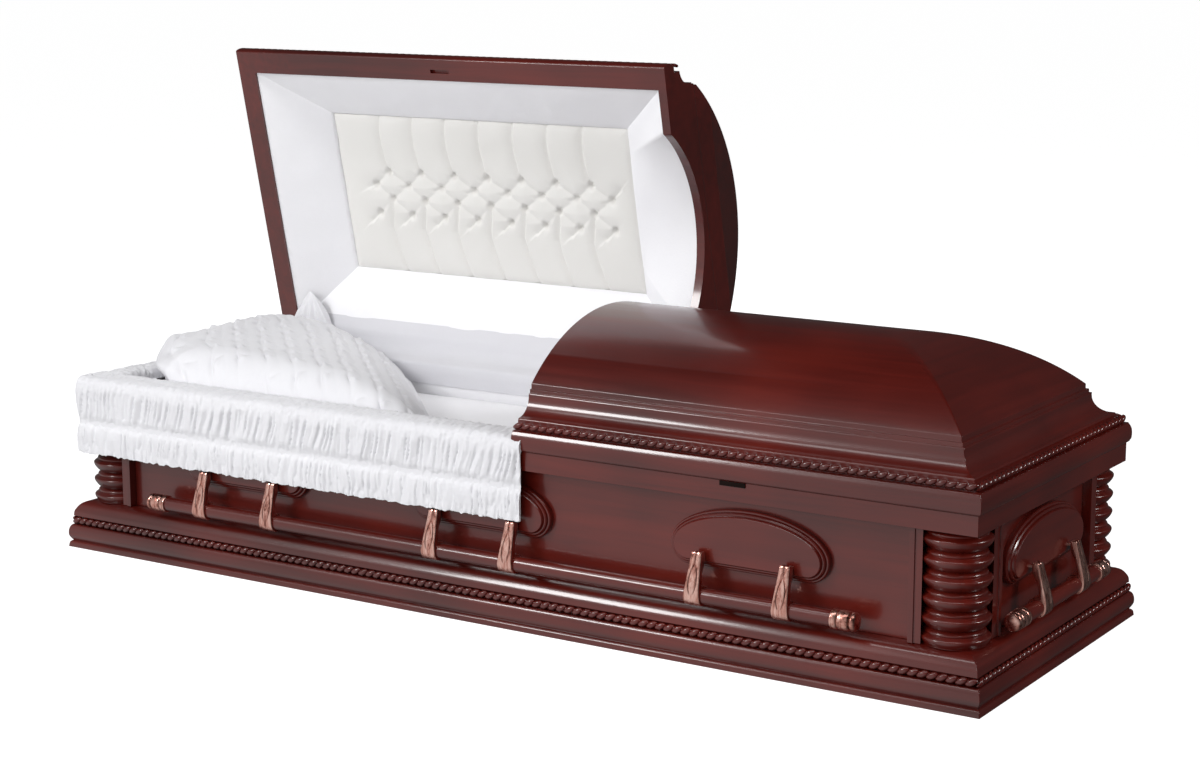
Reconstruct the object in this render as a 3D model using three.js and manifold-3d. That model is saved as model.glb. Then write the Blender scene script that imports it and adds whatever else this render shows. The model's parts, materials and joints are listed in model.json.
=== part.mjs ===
import * as THREE from 'three';
import { mergeVertices } from 'three/addons/utils/BufferGeometryUtils.js';
import Module from 'manifold-3d';

const wasm = await Module();
wasm.setup();

// Millimetres. +X runs to the foot end, +Y to the hinged rear side, +Z up. Z = 0 is the floor.
// An inset is measured inwards from the outline of the base foot.
const LENGTH = 2100;
const WIDTH = 730;
const REACH_X = LENGTH / 2;
const REACH_Y = WIDTH / 2;
const GAP = 0.4;

// Heights of the stacked parts
const SHELF_Z = 99;
const RAIL_LOW_Z = 305;
const RAIL_TOP_Z = 341.5;
const LID_LOW_Z = 342.3;
const DOME_TOP_Z = 574;

// Box
const PANEL_INSET = 52;
const PANEL_THICK = 20;
const RAIL_INSET = 21.5;
const WALL_INNER_INSET = PANEL_INSET + PANEL_THICK;
const FLOOR_THICK = 18;
const REBATE_INSET = 60;
const BASE_INNER_INSET = 80;

// Corner posts and turned columns
const COLUMN_INSET = 86;
const COLUMN_RADIUS = 62;
const COVE_RADIUS = 64.5;
const COLUMN_SEGMENTS = 10;
const RING_COUNT = 6;
const RING_PITCH = 34.7;
const FIRST_RING_Z = 112.3;
const GROOVE_RADIUS = 46.6;
const SHOULDER_RADIUS = 53.5;
const POST_INSET = 34;
const POST_STEP = 3;
const POST_EDGE = 10;
const POST_SIDE_X = 898;
const POST_END_Y = 205;

// Lids
const SPLIT_X = 90;
const SPLIT_GAP = 1.2;
const LID_WALL = 19;
const RIM_INNER_INSET = 64;
const HINGE_Y = 347.5;
const HINGE_Z = 344;
const HINGE_RADIUS = 3;
const HINGE_LEAF = 18;
const OPEN_ANGLE = 77.5;
const RIM_END_INSET = 19;
const HEAD_CATCH_X = (SPLIT_X - (REACH_X - RIM_END_INSET)) / 2;
const FOOT_CATCH_X = (SPLIT_X + (REACH_X - RIM_END_INSET)) / 2;
const HEADER_ARCH_HALF = 210;
const HEADER_ARCH_RISE = 88;
const ARCH_STATIONS = [-1, -0.7, -0.62, -0.5, -0.36, -0.19, 0, 0.19, 0.36, 0.5, 0.62, 0.7, 1];
const MORTISE_HALF = 24;

// Linings of the head lid
const PANEL_DEPTH = 95;
const TUFT_HALF_X = 393;
const TUFT_HALF_Y = 185;
const TUFT_THICK = 26;
const LINING_THICK = 7;
const LID_BORDER_SLOPE = PANEL_DEPTH / (WIDTH / 2 - RIM_INNER_INSET - TUFT_HALF_Y);

// Rope beads: inset and height of the centre, and the radius
const BASE_ROPE = { inset: 11, z: 57.5, radius: 8.5 };
const LID_ROPE = { inset: 28.5, z: 388.6, radius: 8.1 };
const ROPE_SIDES = 8;

// Half-oval plates under the handles
const ARCH_FACE_INSET = 30;
const ARCH_LOW_Z = 173;
const ARCH_SPRING = 40;
const ARCH_RISE = 74;
const ARCH_HALF_SIDE = 161;
const ARCH_HALF_END = 172;
const ARCH_SPACING = 583;

// Swing handles
const BAR_INSET = 10;
const BAR_Z = 127.5;
const BAR_RADIUS = 14.5;
const BAR_SIDES = 9;
const TIP_RADIUS = 17.5;
const SIDE_BAR_HALF = 818;
const END_BAR_HALF = 216;
const ARM_SPREAD = 89;
const ARM_TOP_WIDTH = 21;
const ARM_LOW_WIDTH = 34;
const ARM_FLARE = 0.8;
const ARM_HEIGHT = 78;
const ARM_RING_RADIUS = 18.6;
const PIVOT_BACK = 9;
const PIVOT_UP = 70;
const SLOT_WIDTH = 9;
const PIN_RADIUS = 2.5;
const PIN_HALF = 8.5;
const LUG_RADIUS = 4.4;
const TIP_LENGTH = 50;

// Soft goods
const BED_TOP_Z = 286;
const LINING_CORNER = 140;
const BED_CORNER = 130;
const PILLOW_EDGE_Z = 304;
const PILLOW_RISE = 124;
const PILLOW_SWELL = 102;
const SKIRT_LOW_Z = 208;
const SKIRT_TOP_Z = 371;
const SKIRT_END_X = 114;
const SKIRT_REAR_Y = 292;
const SKIRT_OUTSET = 6;
const SKIRT_HEAD_OUTSET = -11;
const SKIRT_HEM_INSET = 84;

const finish = {
  wood: new THREE.MeshStandardMaterial({ color: 0x4a1a17, roughness: 0.25, metalness: 0 }),
  copper: new THREE.MeshStandardMaterial({ color: 0xb8806e, roughness: 0.35, metalness: 1 }),
  hinge: new THREE.MeshStandardMaterial({ color: 0x8a6a58, roughness: 0.4, metalness: 1 }),
  catch: new THREE.MeshStandardMaterial({ color: 0x2c2220, roughness: 0.5, metalness: 1 }),
  crepe: new THREE.MeshStandardMaterial({ color: 0xf0f0f2, roughness: 0.9, metalness: 0 }),
  velvet: new THREE.MeshStandardMaterial({ color: 0xebe9e4, roughness: 0.9, metalness: 0 }),
};

// A closed geometry made into a solid that can be joined and cut
function toSolid(geometry) {
  const bare = geometry.clone();
  bare.deleteAttribute('normal');
  bare.deleteAttribute('uv');
  const merged = mergeVertices(bare, 1e-4);
  return new wasm.Manifold(new wasm.Mesh({
    numProp: 3,
    vertProperties: new Float32Array(merged.attributes.position.array),
    triVerts: new Uint32Array(merged.index.array),
  }));
}

function toGeometry(solid) {
  const mesh = solid.getMesh();
  const geometry = new THREE.BufferGeometry();
  geometry.setAttribute('position', new THREE.BufferAttribute(new Float32Array(mesh.vertProperties), 3));
  geometry.setIndex(new THREE.BufferAttribute(new Uint32Array(mesh.triVerts), 1));
  geometry.computeVertexNormals();
  return geometry;
}

function cut(from, ...tools) {
  return toGeometry(tools.reduce((solid, tool) => solid.subtract(toSolid(tool)), toSolid(from)));
}

function join(first, ...others) {
  return toGeometry(others.reduce((solid, other) => solid.add(toSolid(other)), toSolid(first)));
}

// Turns the faces of a piece outwards, whichever way round its points were given
function facingOut(geometry) {
  const position = geometry.attributes.position;
  const index = geometry.index.array;
  const [a, b, c] = [new THREE.Vector3(), new THREE.Vector3(), new THREE.Vector3()];
  let volume = 0;
  for (let i = 0; i < index.length; i += 3) {
    a.fromBufferAttribute(position, index[i]);
    b.fromBufferAttribute(position, index[i + 1]);
    c.fromBufferAttribute(position, index[i + 2]);
    volume += a.dot(b.cross(c));
  }
  if (volume < 0) {
    for (let i = 0; i < index.length; i += 3) [index[i], index[i + 1]] = [index[i + 1], index[i]];
  }
  return geometry;
}

// Sections with the same count of points, joined one to the next. The last joins the first,
// or else a flat outline of the section closes both ends.
function sweep(sections, flatEnd) {
  const count = sections[0].length;
  const faces = [];
  const spans = flatEnd ? sections.length - 1 : sections.length;
  for (let s = 0; s < spans; s += 1) {
    const here = s * count;
    const next = ((s + 1) % sections.length) * count;
    for (let i = 0; i < count; i += 1) {
      const j = (i + 1) % count;
      faces.push(here + i, here + j, next + j, here + i, next + j, next + i);
    }
  }
  if (flatEnd) {
    const last = (sections.length - 1) * count;
    const outline = flatEnd.map(([u, v]) => new THREE.Vector2(u, v));
    const clockwise = THREE.ShapeUtils.isClockWise(outline);
    for (const [a, b, c] of THREE.ShapeUtils.triangulateShape(outline, [])) {
      faces.push(...(clockwise ? [a, b, c] : [a, c, b]));
      faces.push(...(clockwise ? [last + a, last + c, last + b] : [last + a, last + b, last + c]));
    }
  }
  const geometry = new THREE.BufferGeometry();
  const points = new Float32Array(sections.flat(2));
  geometry.setAttribute('position', new THREE.BufferAttribute(points, 3));
  geometry.setIndex(new THREE.BufferAttribute(new Uint32Array(faces), 1));
  return facingOut(geometry);
}

// Level rings stacked from the bottom up, closed by a flat bottom and top
function loft(rings) {
  return sweep(rings, rings[0]);
}

function box(x0, x1, y0, y1, z0, z1) {
  const geometry = new THREE.BoxGeometry(x1 - x0, y1 - y0, z1 - z0);
  geometry.translate((x0 + x1) / 2, (y0 + y1) / 2, (z0 + z1) / 2);
  return geometry;
}

function rod(radius, x0, x1, y, z, sides) {
  const geometry = new THREE.CylinderGeometry(radius, radius, x1 - x0, sides);
  geometry.rotateZ(-Math.PI / 2);
  geometry.translate((x0 + x1) / 2, y, z);
  return geometry;
}

// A flat outline of [x, y] points raised from z0 to z1
function prism(outline, z0, z1) {
  const shape = new THREE.Shape(outline.map(([x, y]) => new THREE.Vector2(x, y)));
  const geometry = new THREE.ExtrudeGeometry(shape, { depth: z1 - z0, bevelEnabled: false });
  geometry.translate(0, 0, z0);
  return geometry;
}

// A side profile of [outwards, up] points with round holes, given a width along X
function profilePiece(outline, holes, width) {
  const shape = new THREE.Shape(outline.map(([u, v]) => new THREE.Vector2(u, v)));
  for (const { at, radius, sides } of holes) {
    const ring = new THREE.Path();
    for (let i = 0; i < sides; i += 1) {
      const angle = (i / sides) * Math.PI * 2;
      const point = [at[0] + radius * Math.cos(angle), at[1] + radius * Math.sin(angle)];
      if (i === 0) ring.moveTo(...point);
      else ring.lineTo(...point);
    }
    shape.holes.push(ring);
  }
  const geometry = new THREE.ExtrudeGeometry(shape, { depth: width, bevelEnabled: false });
  geometry.translate(0, 0, -width / 2);
  // profile X is outwards (-Y of the wall), profile Y is up, the width runs along X
  geometry.applyMatrix4(new THREE.Matrix4().set(0, 0, -1, 0, -1, 0, 0, 0, 0, 1, 0, 0, 0, 0, 0, 1));
  return geometry;
}

function arc(centreU, centreV, radius, from, to, steps) {
  return Array.from({ length: steps + 1 }, (_, i) => {
    const angle = THREE.MathUtils.degToRad(from + ((to - from) * i) / steps);
    return [centreU + radius * Math.cos(angle), centreV + radius * Math.sin(angle)];
  });
}

// A rectangle of the given inset; a lid's split end stays at its own X
function rectangle(inset, z, lowX, highX) {
  const y = REACH_Y - inset;
  const x0 = lowX ?? -(REACH_X - inset);
  const x1 = highX ?? REACH_X - inset;
  return [[x0, -y, z], [x1, -y, z], [x1, y, z], [x0, y, z]];
}

const parts = new THREE.Group();

function add(group, name, geometry, material) {
  const mesh = new THREE.Mesh(geometry, material);
  mesh.name = name;
  group.add(mesh);
  return mesh;
}

// Base moulding: a foot, an ovolo, the groove for the rope and a round shelf edge
const baseProfile = [
  [0, 0], [1, 8], [3.5, 11.5], [7.2, 13.5], [4, 18], [1, 24], [0.3, 30], [1.2, 38], [4, 45],
  [8, 48.5], [20.8, 48.9], [20.8, 66.2], [9, 66.8], [10, 76], [14, 84], [20, 91.5], [29, 96.5], [40, SHELF_Z],
];

function baseMoulding() {
  const outer = loft(baseProfile.map(([inset, z]) => rectangle(inset, z)));
  const rebateX = REACH_X - REBATE_INSET;
  const rebateY = REACH_Y - REBATE_INSET;
  const innerX = REACH_X - BASE_INNER_INSET;
  const innerY = REACH_Y - BASE_INNER_INSET;
  return cut(
    outer,
    box(-rebateX, rebateX, -rebateY, rebateY, -10, FLOOR_THICK + GAP),
    box(-innerX, innerX, -innerY, innerY, FLOOR_THICK, SHELF_Z + 10),
  );
}

// A round bead that runs round the outline; on a lid it stops at the split end
function ropeBead({ inset, z, radius }, lowX, highX) {
  const section = arc(inset, z, radius, 0, 360 - 360 / ROPE_SIDES, ROPE_SIDES - 1);
  const corners = section.map(([d, h]) => rectangle(d, h, lowX, highX));
  const order = highX === undefined ? [0, 1, 2, 3] : [1, 0, 3, 2];
  const split = lowX !== undefined || highX !== undefined;
  return sweep(order.map((corner) => corners.map((ring) => ring[corner])), split ? section : null);
}

function topRail() {
  const outX = REACH_X - RAIL_INSET;
  const outY = REACH_Y - RAIL_INSET;
  const inX = REACH_X - WALL_INNER_INSET;
  const inY = REACH_Y - WALL_INNER_INSET;
  return cut(
    box(-outX, outX, -outY, outY, RAIL_LOW_Z, RAIL_TOP_Z),
    box(-inX, inX, -inY, inY, RAIL_LOW_Z - 5, RAIL_TOP_Z + 5),
    box(-outX + 20, outX - 20, outY - HINGE_LEAF - 2, outY + 5, RAIL_TOP_Z - 2.2, RAIL_TOP_Z + 5),
  );
}

// The post is hollowed by a round cove, where the column stands, and steps down beside it
function cornerPost() {
  const outX = REACH_X - POST_INSET;
  const outY = REACH_Y - POST_INSET;
  const inX = REACH_X - WALL_INNER_INSET;
  const inY = REACH_Y - WALL_INNER_INSET;
  const columnX = REACH_X - COLUMN_INSET;
  const columnY = REACH_Y - COLUMN_INSET;
  const outline = [
    [POST_SIDE_X, outY], [POST_SIDE_X, inY], [POST_SIDE_X - 16, inY - GAP], [POST_SIDE_X - 16, inY - 41],
    [inX - 28, POST_END_Y - 9], [inX - GAP, POST_END_Y - 9], [inX, POST_END_Y], [outX, POST_END_Y],
    [outX, POST_END_Y + POST_EDGE], [outX - POST_STEP, POST_END_Y + POST_EDGE],
    [outX - POST_STEP, columnY - 20], [columnX, columnY], [columnX - 20, outY - POST_STEP],
    [POST_SIDE_X + POST_EDGE, outY - POST_STEP], [POST_SIDE_X + POST_EDGE, outY],
  ];
  const cove = new THREE.CylinderGeometry(COVE_RADIUS, COVE_RADIUS, RAIL_LOW_Z, 24);
  cove.rotateX(Math.PI / 2);
  cove.translate(columnX, columnY, RAIL_LOW_Z / 2);
  return cut(prism(outline, SHELF_Z + GAP, RAIL_LOW_Z - GAP), cove);
}

// Six turned rings, each with a narrower shoulder bead above it
function cornerColumn() {
  const profile = [[0, SHELF_Z + GAP], [COLUMN_RADIUS - 7, SHELF_Z + GAP]];
  for (let i = 0; i < RING_COUNT; i += 1) {
    const z = FIRST_RING_Z + i * RING_PITCH;
    profile.push([COLUMN_RADIUS - 0.5, z - 3], [COLUMN_RADIUS - 0.5, z + 2]);
    profile.push([SHOULDER_RADIUS, z + 7], [SHOULDER_RADIUS, z + 12], [GROOVE_RADIUS, z + 15.4]);
  }
  profile.push([GROOVE_RADIUS, RAIL_LOW_Z - GAP], [0, RAIL_LOW_Z - GAP]);
  const geometry = new THREE.LatheGeometry(profile.map(([r, z]) => new THREE.Vector2(r, z)), COLUMN_SEGMENTS);
  geometry.rotateX(Math.PI / 2);
  return toGeometry(toSolid(geometry));
}

// Outline of a half-oval plate, shrunk by the inset
function archOutline(half, inset) {
  const low = ARCH_LOW_Z + inset;
  const spring = ARCH_LOW_Z + ARCH_SPRING;
  const a = half - inset;
  const corner = ARCH_SPRING - inset;
  const points = [];
  const steps = 11;
  for (let i = 0; i < steps; i += 1) {
    const angle = (i / (steps - 1)) * Math.PI;
    points.push([a * Math.cos(angle), spring + (ARCH_RISE - inset) * Math.sin(angle)]);
  }
  for (const angle of [205, 238, 270]) {
    const t = THREE.MathUtils.degToRad(angle);
    points.push([-a + corner + corner * Math.cos(t), low + corner + corner * Math.sin(t)]);
  }
  for (const angle of [270, 302, 335]) {
    const t = THREE.MathUtils.degToRad(angle);
    points.push([a - corner + corner * Math.cos(t), low + corner + corner * Math.sin(t)]);
  }
  return points;
}

// The plate with its moulded edge, and the two lugs that its handle arms swing on
function archPlate(half, reach) {
  const back = -(reach - PANEL_INSET) - GAP;
  const face = -(reach - ARCH_FACE_INSET);
  const thick = back - face;
  const steps = [[0, 0], [0, 0.4], [8, 0.74], [16, 1]];
  const rings = steps.map(([inset, part]) => {
    const y = back - part * thick;
    return archOutline(half, inset).map(([x, z]) => [x, y, z]);
  });
  const plate = sweep(rings, archOutline(half, 0));
  const pivotY = -(reach - BAR_INSET) + PIVOT_BACK;
  const pivotZ = BAR_Z + PIVOT_UP;
  const lugs = [];
  for (const side of [-1, 1]) {
    const x = side * ARM_SPREAD;
    const w = SLOT_WIDTH / 2 - 0.5;
    lugs.push(box(x - w, x + w, pivotY, face + 6, pivotZ - LUG_RADIUS, pivotZ + LUG_RADIUS));
    lugs.push(rod(LUG_RADIUS, x - w, x + w, pivotY, pivotZ, 6));
    lugs.push(rod(PIN_RADIUS, x - PIN_HALF, x + PIN_HALF, pivotY, pivotZ, 6));
  }
  return join(plate, ...lugs);
}

// One strap arm: a ring round the bar, a tapering strap and a slotted eye at the top
function handleArm() {
  const outline = [
    [ARM_RING_RADIUS, 0], [17, 14], [9, 42], [3, 62], [-1, ARM_HEIGHT],
    [-13, ARM_HEIGHT], [-13, 64], [-4, 48], [1, 32], [4, 19],
    ...arc(0, 0, ARM_RING_RADIUS, 112, 332, 6),
  ];
  const strap = profilePiece(outline, [
    { at: [0, 0], radius: BAR_RADIUS + 1.6, sides: 9 },
    { at: [-PIVOT_BACK, PIVOT_UP], radius: PIN_RADIUS + 0.8, sides: 6 },
  ], 1);
  const position = strap.attributes.position;
  for (let i = 0; i < position.count; i += 1) {
    const t = THREE.MathUtils.clamp(position.getZ(i) / ARM_HEIGHT, 0, 1);
    const width = ARM_LOW_WIDTH + (ARM_TOP_WIDTH - ARM_LOW_WIDTH) * Math.pow(t, ARM_FLARE);
    position.setX(i, position.getX(i) * width);
  }
  const slot = box(-SLOT_WIDTH / 2, SLOT_WIDTH / 2, 4, 30, 58, 90);
  return cut(strap, slot);
}

// The bar with a copper tip at each end: ring, barrel, gap and domed button
function handleBar(half) {
  const tip = [
    [TIP_RADIUS, TIP_LENGTH], [TIP_RADIUS, 38], [15.5, 36.5], [TIP_RADIUS, 34],
    [TIP_RADIUS, 15], [14.5, 12.5], [16.5, 10], [15.5, 4], [10, 1],
  ];
  const profile = [[0, -half]];
  for (const [r, d] of [...tip].reverse()) profile.push([r, -half + d]);
  profile.push([BAR_RADIUS, -half + TIP_LENGTH], [BAR_RADIUS, half - TIP_LENGTH]);
  for (const [r, d] of tip) profile.push([r, half - d]);
  profile.push([0, half]);
  const geometry = new THREE.LatheGeometry(profile.map(([r, v]) => new THREE.Vector2(r, v)), BAR_SIDES);
  geometry.rotateZ(-Math.PI / 2);
  return toGeometry(toSolid(geometry));
}

// Lid moulding from the rim up to the dome, as [inset, height] points
const domeFoot = [84, 459];
const lidProfile = [
  [19, LID_LOW_Z], [15.8, 345], [14.2, 352], [14, 362], [15.5, 371], [20, 380],
  [38, 380.4], [38, 396.8], [37, 399.8],
  ...arc(37, 437, 37, -90, 0, 5).slice(1),
  [74, 441], [78, 441.6], [78, 448], [83, 448.8], [83, 457.5], domeFoot,
];

// Height of a round dome that starts at the dome foot and levels out on the centre line
function domeRadius(footInset, footZ, topZ) {
  const half = REACH_Y - footInset;
  const rise = topZ - footZ;
  return (half * half + rise * rise) / (2 * rise);
}

function domeLevels(footInset, footZ, topZ, steps) {
  const radius = domeRadius(footInset, footZ, topZ);
  const start = Math.asin((REACH_Y - footInset) / radius);
  const levels = [];
  for (let i = 1; i <= steps; i += 1) {
    const angle = start * (1 - i / steps);
    levels.push([REACH_Y - Math.max(radius * Math.sin(angle), 1), topZ - radius * (1 - Math.cos(angle))]);
  }
  return levels;
}

// One lid, modelled shut: moulded shell, hollow under the dome, with an arched board at the split
function lid(splitX, endSign) {
  const ends = (x) => (endSign > 0 ? [x, undefined] : [undefined, x]);
  const outerLevels = [...lidProfile, ...domeLevels(domeFoot[0], domeFoot[1], DOME_TOP_Z, 12)];
  const outer = loft(outerLevels.map(([d, z]) => rectangle(d, z, ...ends(splitX))));
  const innerFoot = [100, 450];
  const innerLevels = [
    [RIM_INNER_INSET, LID_LOW_Z - 5], [RIM_INNER_INSET, 384], [84, 412], [92, 436], innerFoot,
    ...domeLevels(innerFoot[0], innerFoot[1], DOME_TOP_Z - LID_WALL, 6),
  ];
  const innerSplit = splitX + endSign * LID_WALL;
  const inner = loft(innerLevels.map(([d, z]) => rectangle(d, z, ...ends(innerSplit))));
  const arch = archCut(splitX - endSign * 5, splitX + endSign * (LID_WALL + 5));
  const seat = rod(HINGE_RADIUS + 1, -REACH_X, REACH_X, HINGE_Y, HINGE_Z, 10);
  const middle = endSign > 0 ? FOOT_CATCH_X : HEAD_CATCH_X;
  const mortise = box(middle - MORTISE_HALF, middle + MORTISE_HALF, -325, -317, LID_LOW_Z - 5, LID_LOW_Z + 9);
  return cut(outer, inner, arch, seat, mortise);
}

const headerArchRadius = (HEADER_ARCH_HALF ** 2 + HEADER_ARCH_RISE ** 2) / (2 * HEADER_ARCH_RISE);
const headerArchCentreZ = LID_LOW_Z + HEADER_ARCH_RISE - headerArchRadius;

// The bow that is cut out of the lower edge of the board at the split
function archCut(x0, x1) {
  const half = HEADER_ARCH_HALF;
  const end = THREE.MathUtils.radToDeg(Math.asin(half / headerArchRadius));
  const bow = arc(0, headerArchCentreZ, headerArchRadius, 90 - end, 90 + end, 10);
  const outline = [...bow, [-half, LID_LOW_Z - 8], [half, LID_LOW_Z - 8]];
  const low = Math.min(x0, x1);
  const geometry = prism(outline, low, Math.max(x0, x1));
  geometry.applyMatrix4(new THREE.Matrix4().set(0, 0, 1, 0, 1, 0, 0, 0, 0, 1, 0, 0, 0, 0, 0, 1));
  return geometry;
}

// How far the bow rises above the lid's lower edge
function archRise(y) {
  const square = headerArchRadius ** 2 - y ** 2;
  return square > 0 ? Math.max(headerArchCentreZ + Math.sqrt(square) - LID_LOW_Z, 0) : 0;
}

// Sloping cloth border of a lid, from the rim up to the recessed panel, open in the middle.
// At the split it follows the bow of the board.
function lidLining(splitX, endSign) {
  const far = endSign * (REACH_X - RIM_INNER_INSET - GAP);
  const near = splitX + endSign * (LID_WALL + GAP);
  const middle = endSign > 0 ? FOOT_CATCH_X : HEAD_CATCH_X;
  const y = REACH_Y - RIM_INNER_INSET - GAP;
  const halfX = Math.min(TUFT_HALF_X, Math.abs(far - near) / 2 - 90);
  const topZ = LID_LOW_Z + PANEL_DEPTH;
  // place: -1 to 1 across the lid; end: 1 at the far end, -1 at the split
  const section = (place, end, rise) => {
    const rimX = end > 0 ? far : near;
    const inwards = -end * endSign;
    const panelX = middle + end * endSign * halfX;
    const low = LID_LOW_Z + 3 + rise;
    return [
      [rimX, place * y, low],
      [rimX, place * y, low + 9],
      [panelX - inwards * 6, place * (TUFT_HALF_Y + 6), topZ],
      [panelX + inwards, place * (TUFT_HALF_Y - 1), topZ],
      [rimX + inwards * LINING_THICK, place * (y - LINING_THICK), low],
    ];
  };
  const split = ARCH_STATIONS.map((station) => {
    const rise = archRise(station * y);
    return section(station, -1, rise > 0 ? rise + 1 : 0);
  });
  return sweep([section(-1, 1, 0), section(1, 1, 0), ...split.reverse()]);
}

function tuftedPanel(splitX, endSign) {
  const middle = endSign > 0 ? FOOT_CATCH_X : HEAD_CATCH_X;
  const low = LID_LOW_Z + PANEL_DEPTH + GAP;
  const ring = (grow, z) => {
    const x = TUFT_HALF_X + grow;
    const y = TUFT_HALF_Y + grow;
    return [[middle - x, -y, z], [middle + x, -y, z], [middle + x, y, z], [middle - x, y, z]];
  };
  return loft([ring(2, low), ring(5, low + 6), ring(5, low + TUFT_THICK)]);
}

function footLidPanel() {
  const middle = FOOT_CATCH_X;
  const top = LID_LOW_Z + PANEL_DEPTH;
  return box(middle - 352, middle + 352, -TUFT_HALF_Y - 5, TUFT_HALF_Y + 5, top - 3, top + 5);
}

// Continuous hinge: a knuckle in the seam with a leaf let into the rail
function hinge(x0, x1) {
  const y = REACH_Y - RAIL_INSET;
  const knuckle = rod(HINGE_RADIUS, x0, x1, HINGE_Y, HINGE_Z, 8);
  const leaf = box(x0, x1, y - HINGE_LEAF, HINGE_Y + 1, RAIL_TOP_Z - 1.8, RAIL_TOP_Z - 0.3);
  return join(knuckle, leaf);
}

// Soft mattress with a crowned top
function bed() {
  const x = REACH_X - WALL_INNER_INSET - 14;
  const y = REACH_Y - WALL_INNER_INSET - 14;
  const ring = (inset, z) => {
    const a = x - inset;
    const b = y - inset;
    const c = BED_CORNER;
    return [
      [-a, -b + c, z], [-a + c, -b, z], [a - c, -b, z], [a, -b + c, z],
      [a, b - c, z], [a - c, b, z], [-a + c, b, z], [-a, b - c, z],
    ];
  };
  const low = FLOOR_THICK + GAP;
  return loft([
    ring(4, low), ring(0, low + 12), ring(0, BED_TOP_Z - 30), ring(14, BED_TOP_Z - 8), ring(70, BED_TOP_Z),
  ]);
}

// Cloth on the inner faces of the walls, cut across the corners in front of the posts
function bodyLining() {
  const ring = (inset, c, z) => {
    const a = REACH_X - WALL_INNER_INSET - inset;
    const b = REACH_Y - WALL_INNER_INSET - inset;
    return [
      [-a, -b + c, z], [-a + c, -b, z], [a - c, -b, z], [a, -b + c, z],
      [a, b - c, z], [a - c, b, z], [-a + c, b, z], [-a, b - c, z],
    ];
  };
  const low = SHELF_Z + GAP;
  const outer = loft([ring(GAP, LINING_CORNER, low), ring(GAP, LINING_CORNER, RAIL_TOP_Z - 1)]);
  const innerCorner = LINING_CORNER - 1.5;
  const inner = loft([ring(6, innerCorner, low - 5), ring(6, innerCorner, RAIL_TOP_Z + 5)]);
  return cut(outer, inner);
}

// Quilted pillow at the head end, lying askew: its foot-side edge crosses the body on the slant
function pillow() {
  const slantRear = new THREE.Vector2(-620, 277);
  const slantFront = new THREE.Vector2(-150, -277);
  const slant = slantFront.clone().sub(slantRear).normalize();
  const plan = [
    [-961, -148], [-832, -277], [-190, -277], [-158, -262], [-385, 0], [-605, 262], [-640, 277],
    [-832, 277], [-961, 148],
  ];
  const centre = [-660, -20];
  // the top swells with the distance from the slanting edge, and keeps clear of the shut lid's border
  const top = (x, y, drop) => {
    const reach = new THREE.Vector2(x, y).sub(slantRear).cross(slant);
    const swell = PILLOW_EDGE_Z + PILLOW_RISE * (1 - Math.exp(-Math.abs(reach) / PILLOW_SWELL));
    const toRim = Math.min(REACH_Y - RIM_INNER_INSET - Math.abs(y), REACH_X - RIM_INNER_INSET - Math.abs(x));
    return Math.min(swell - drop, LID_LOW_Z + toRim * LID_BORDER_SLOPE - LINING_THICK);
  };
  const ring = (shrink, height) => plan.map(([x, y]) => {
    const px = centre[0] + (x - centre[0]) * shrink;
    const py = centre[1] + (y - centre[1]) * shrink;
    return [px, py, height(px, py)];
  });
  return loft([
    ring(0.95, () => BED_TOP_Z + 2),
    ring(1, () => BED_TOP_Z + 14),
    ring(0.97, (x, y) => (top(x, y, 0) + BED_TOP_Z) / 2 - 4),
    ring(0.87, (x, y) => top(x, y, 20)),
    ring(0.7, (x, y) => top(x, y, 5)),
    ring(0.4, (x, y) => top(x, y, 0)),
  ]);
}

// Shirred cloth skirt hung over the front and head rail, its section swept round the corner
function skirt() {
  const inner = RAIL_INSET - 0.7;
  const lap = RAIL_TOP_Z + 1.2;
  const cross = (outset) => [
    [-outset, SKIRT_LOW_Z], [inner, SKIRT_LOW_Z], [inner, lap], [SKIRT_HEM_INSET, lap],
    [SKIRT_HEM_INSET, SKIRT_TOP_Z - 10], [70, SKIRT_TOP_Z],
    [18 - outset, SKIRT_TOP_Z], [4 - outset, SKIRT_TOP_Z - 8], [2 - outset, 340], [4 - outset, 300], [-outset, 262],
  ];
  const front = cross(SKIRT_OUTSET);
  const head = cross(SKIRT_HEAD_OUTSET);
  const swept = sweep([
    front.map(([d, z]) => [SPLIT_X - 3, -(REACH_Y - d), z]),
    front.map(([d, z], i) => [-(REACH_X - head[i][0]), -(REACH_Y - d), z]),
    head.map(([d, z]) => [-(REACH_X - d), SKIRT_REAR_Y, z]),
  ], front);
  const tailOuterY = -(REACH_Y + SKIRT_OUTSET - 1);
  const tailInnerY = -(REACH_Y - inner + 1.5);
  const tail = box(SPLIT_X - 8, SKIRT_END_X, tailOuterY, tailInnerY, SKIRT_LOW_Z, RAIL_TOP_Z - 3);
  const y = -(REACH_Y - RAIL_INSET);
  const catchRoom = box(HEAD_CATCH_X - 28, HEAD_CATCH_X + 28, y - 3, y + 5, RAIL_TOP_Z - 12, RAIL_TOP_Z + 1);
  return cut(join(swept, tail), catchRoom);
}

// Cloth that runs from the open lid's border down over the hinge and into the body
function hingeApron() {
  const section = [
    [332, 386], [325, 347], [284, 347], [284, 343.2], [328.5, 343.2], [336, 386],
  ];
  const at = (x) => section.map(([y, z]) => [x, y, z]);
  return sweep([at(-(REACH_X - 100)), at(SPLIT_X - LID_WALL - 8)], section);
}

function catchPlate(x) {
  const y = -(REACH_Y - RAIL_INSET) - GAP;
  return box(x - 26, x + 26, y - 1.6, y, RAIL_TOP_Z - 9, RAIL_TOP_Z - 0.5);
}

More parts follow.
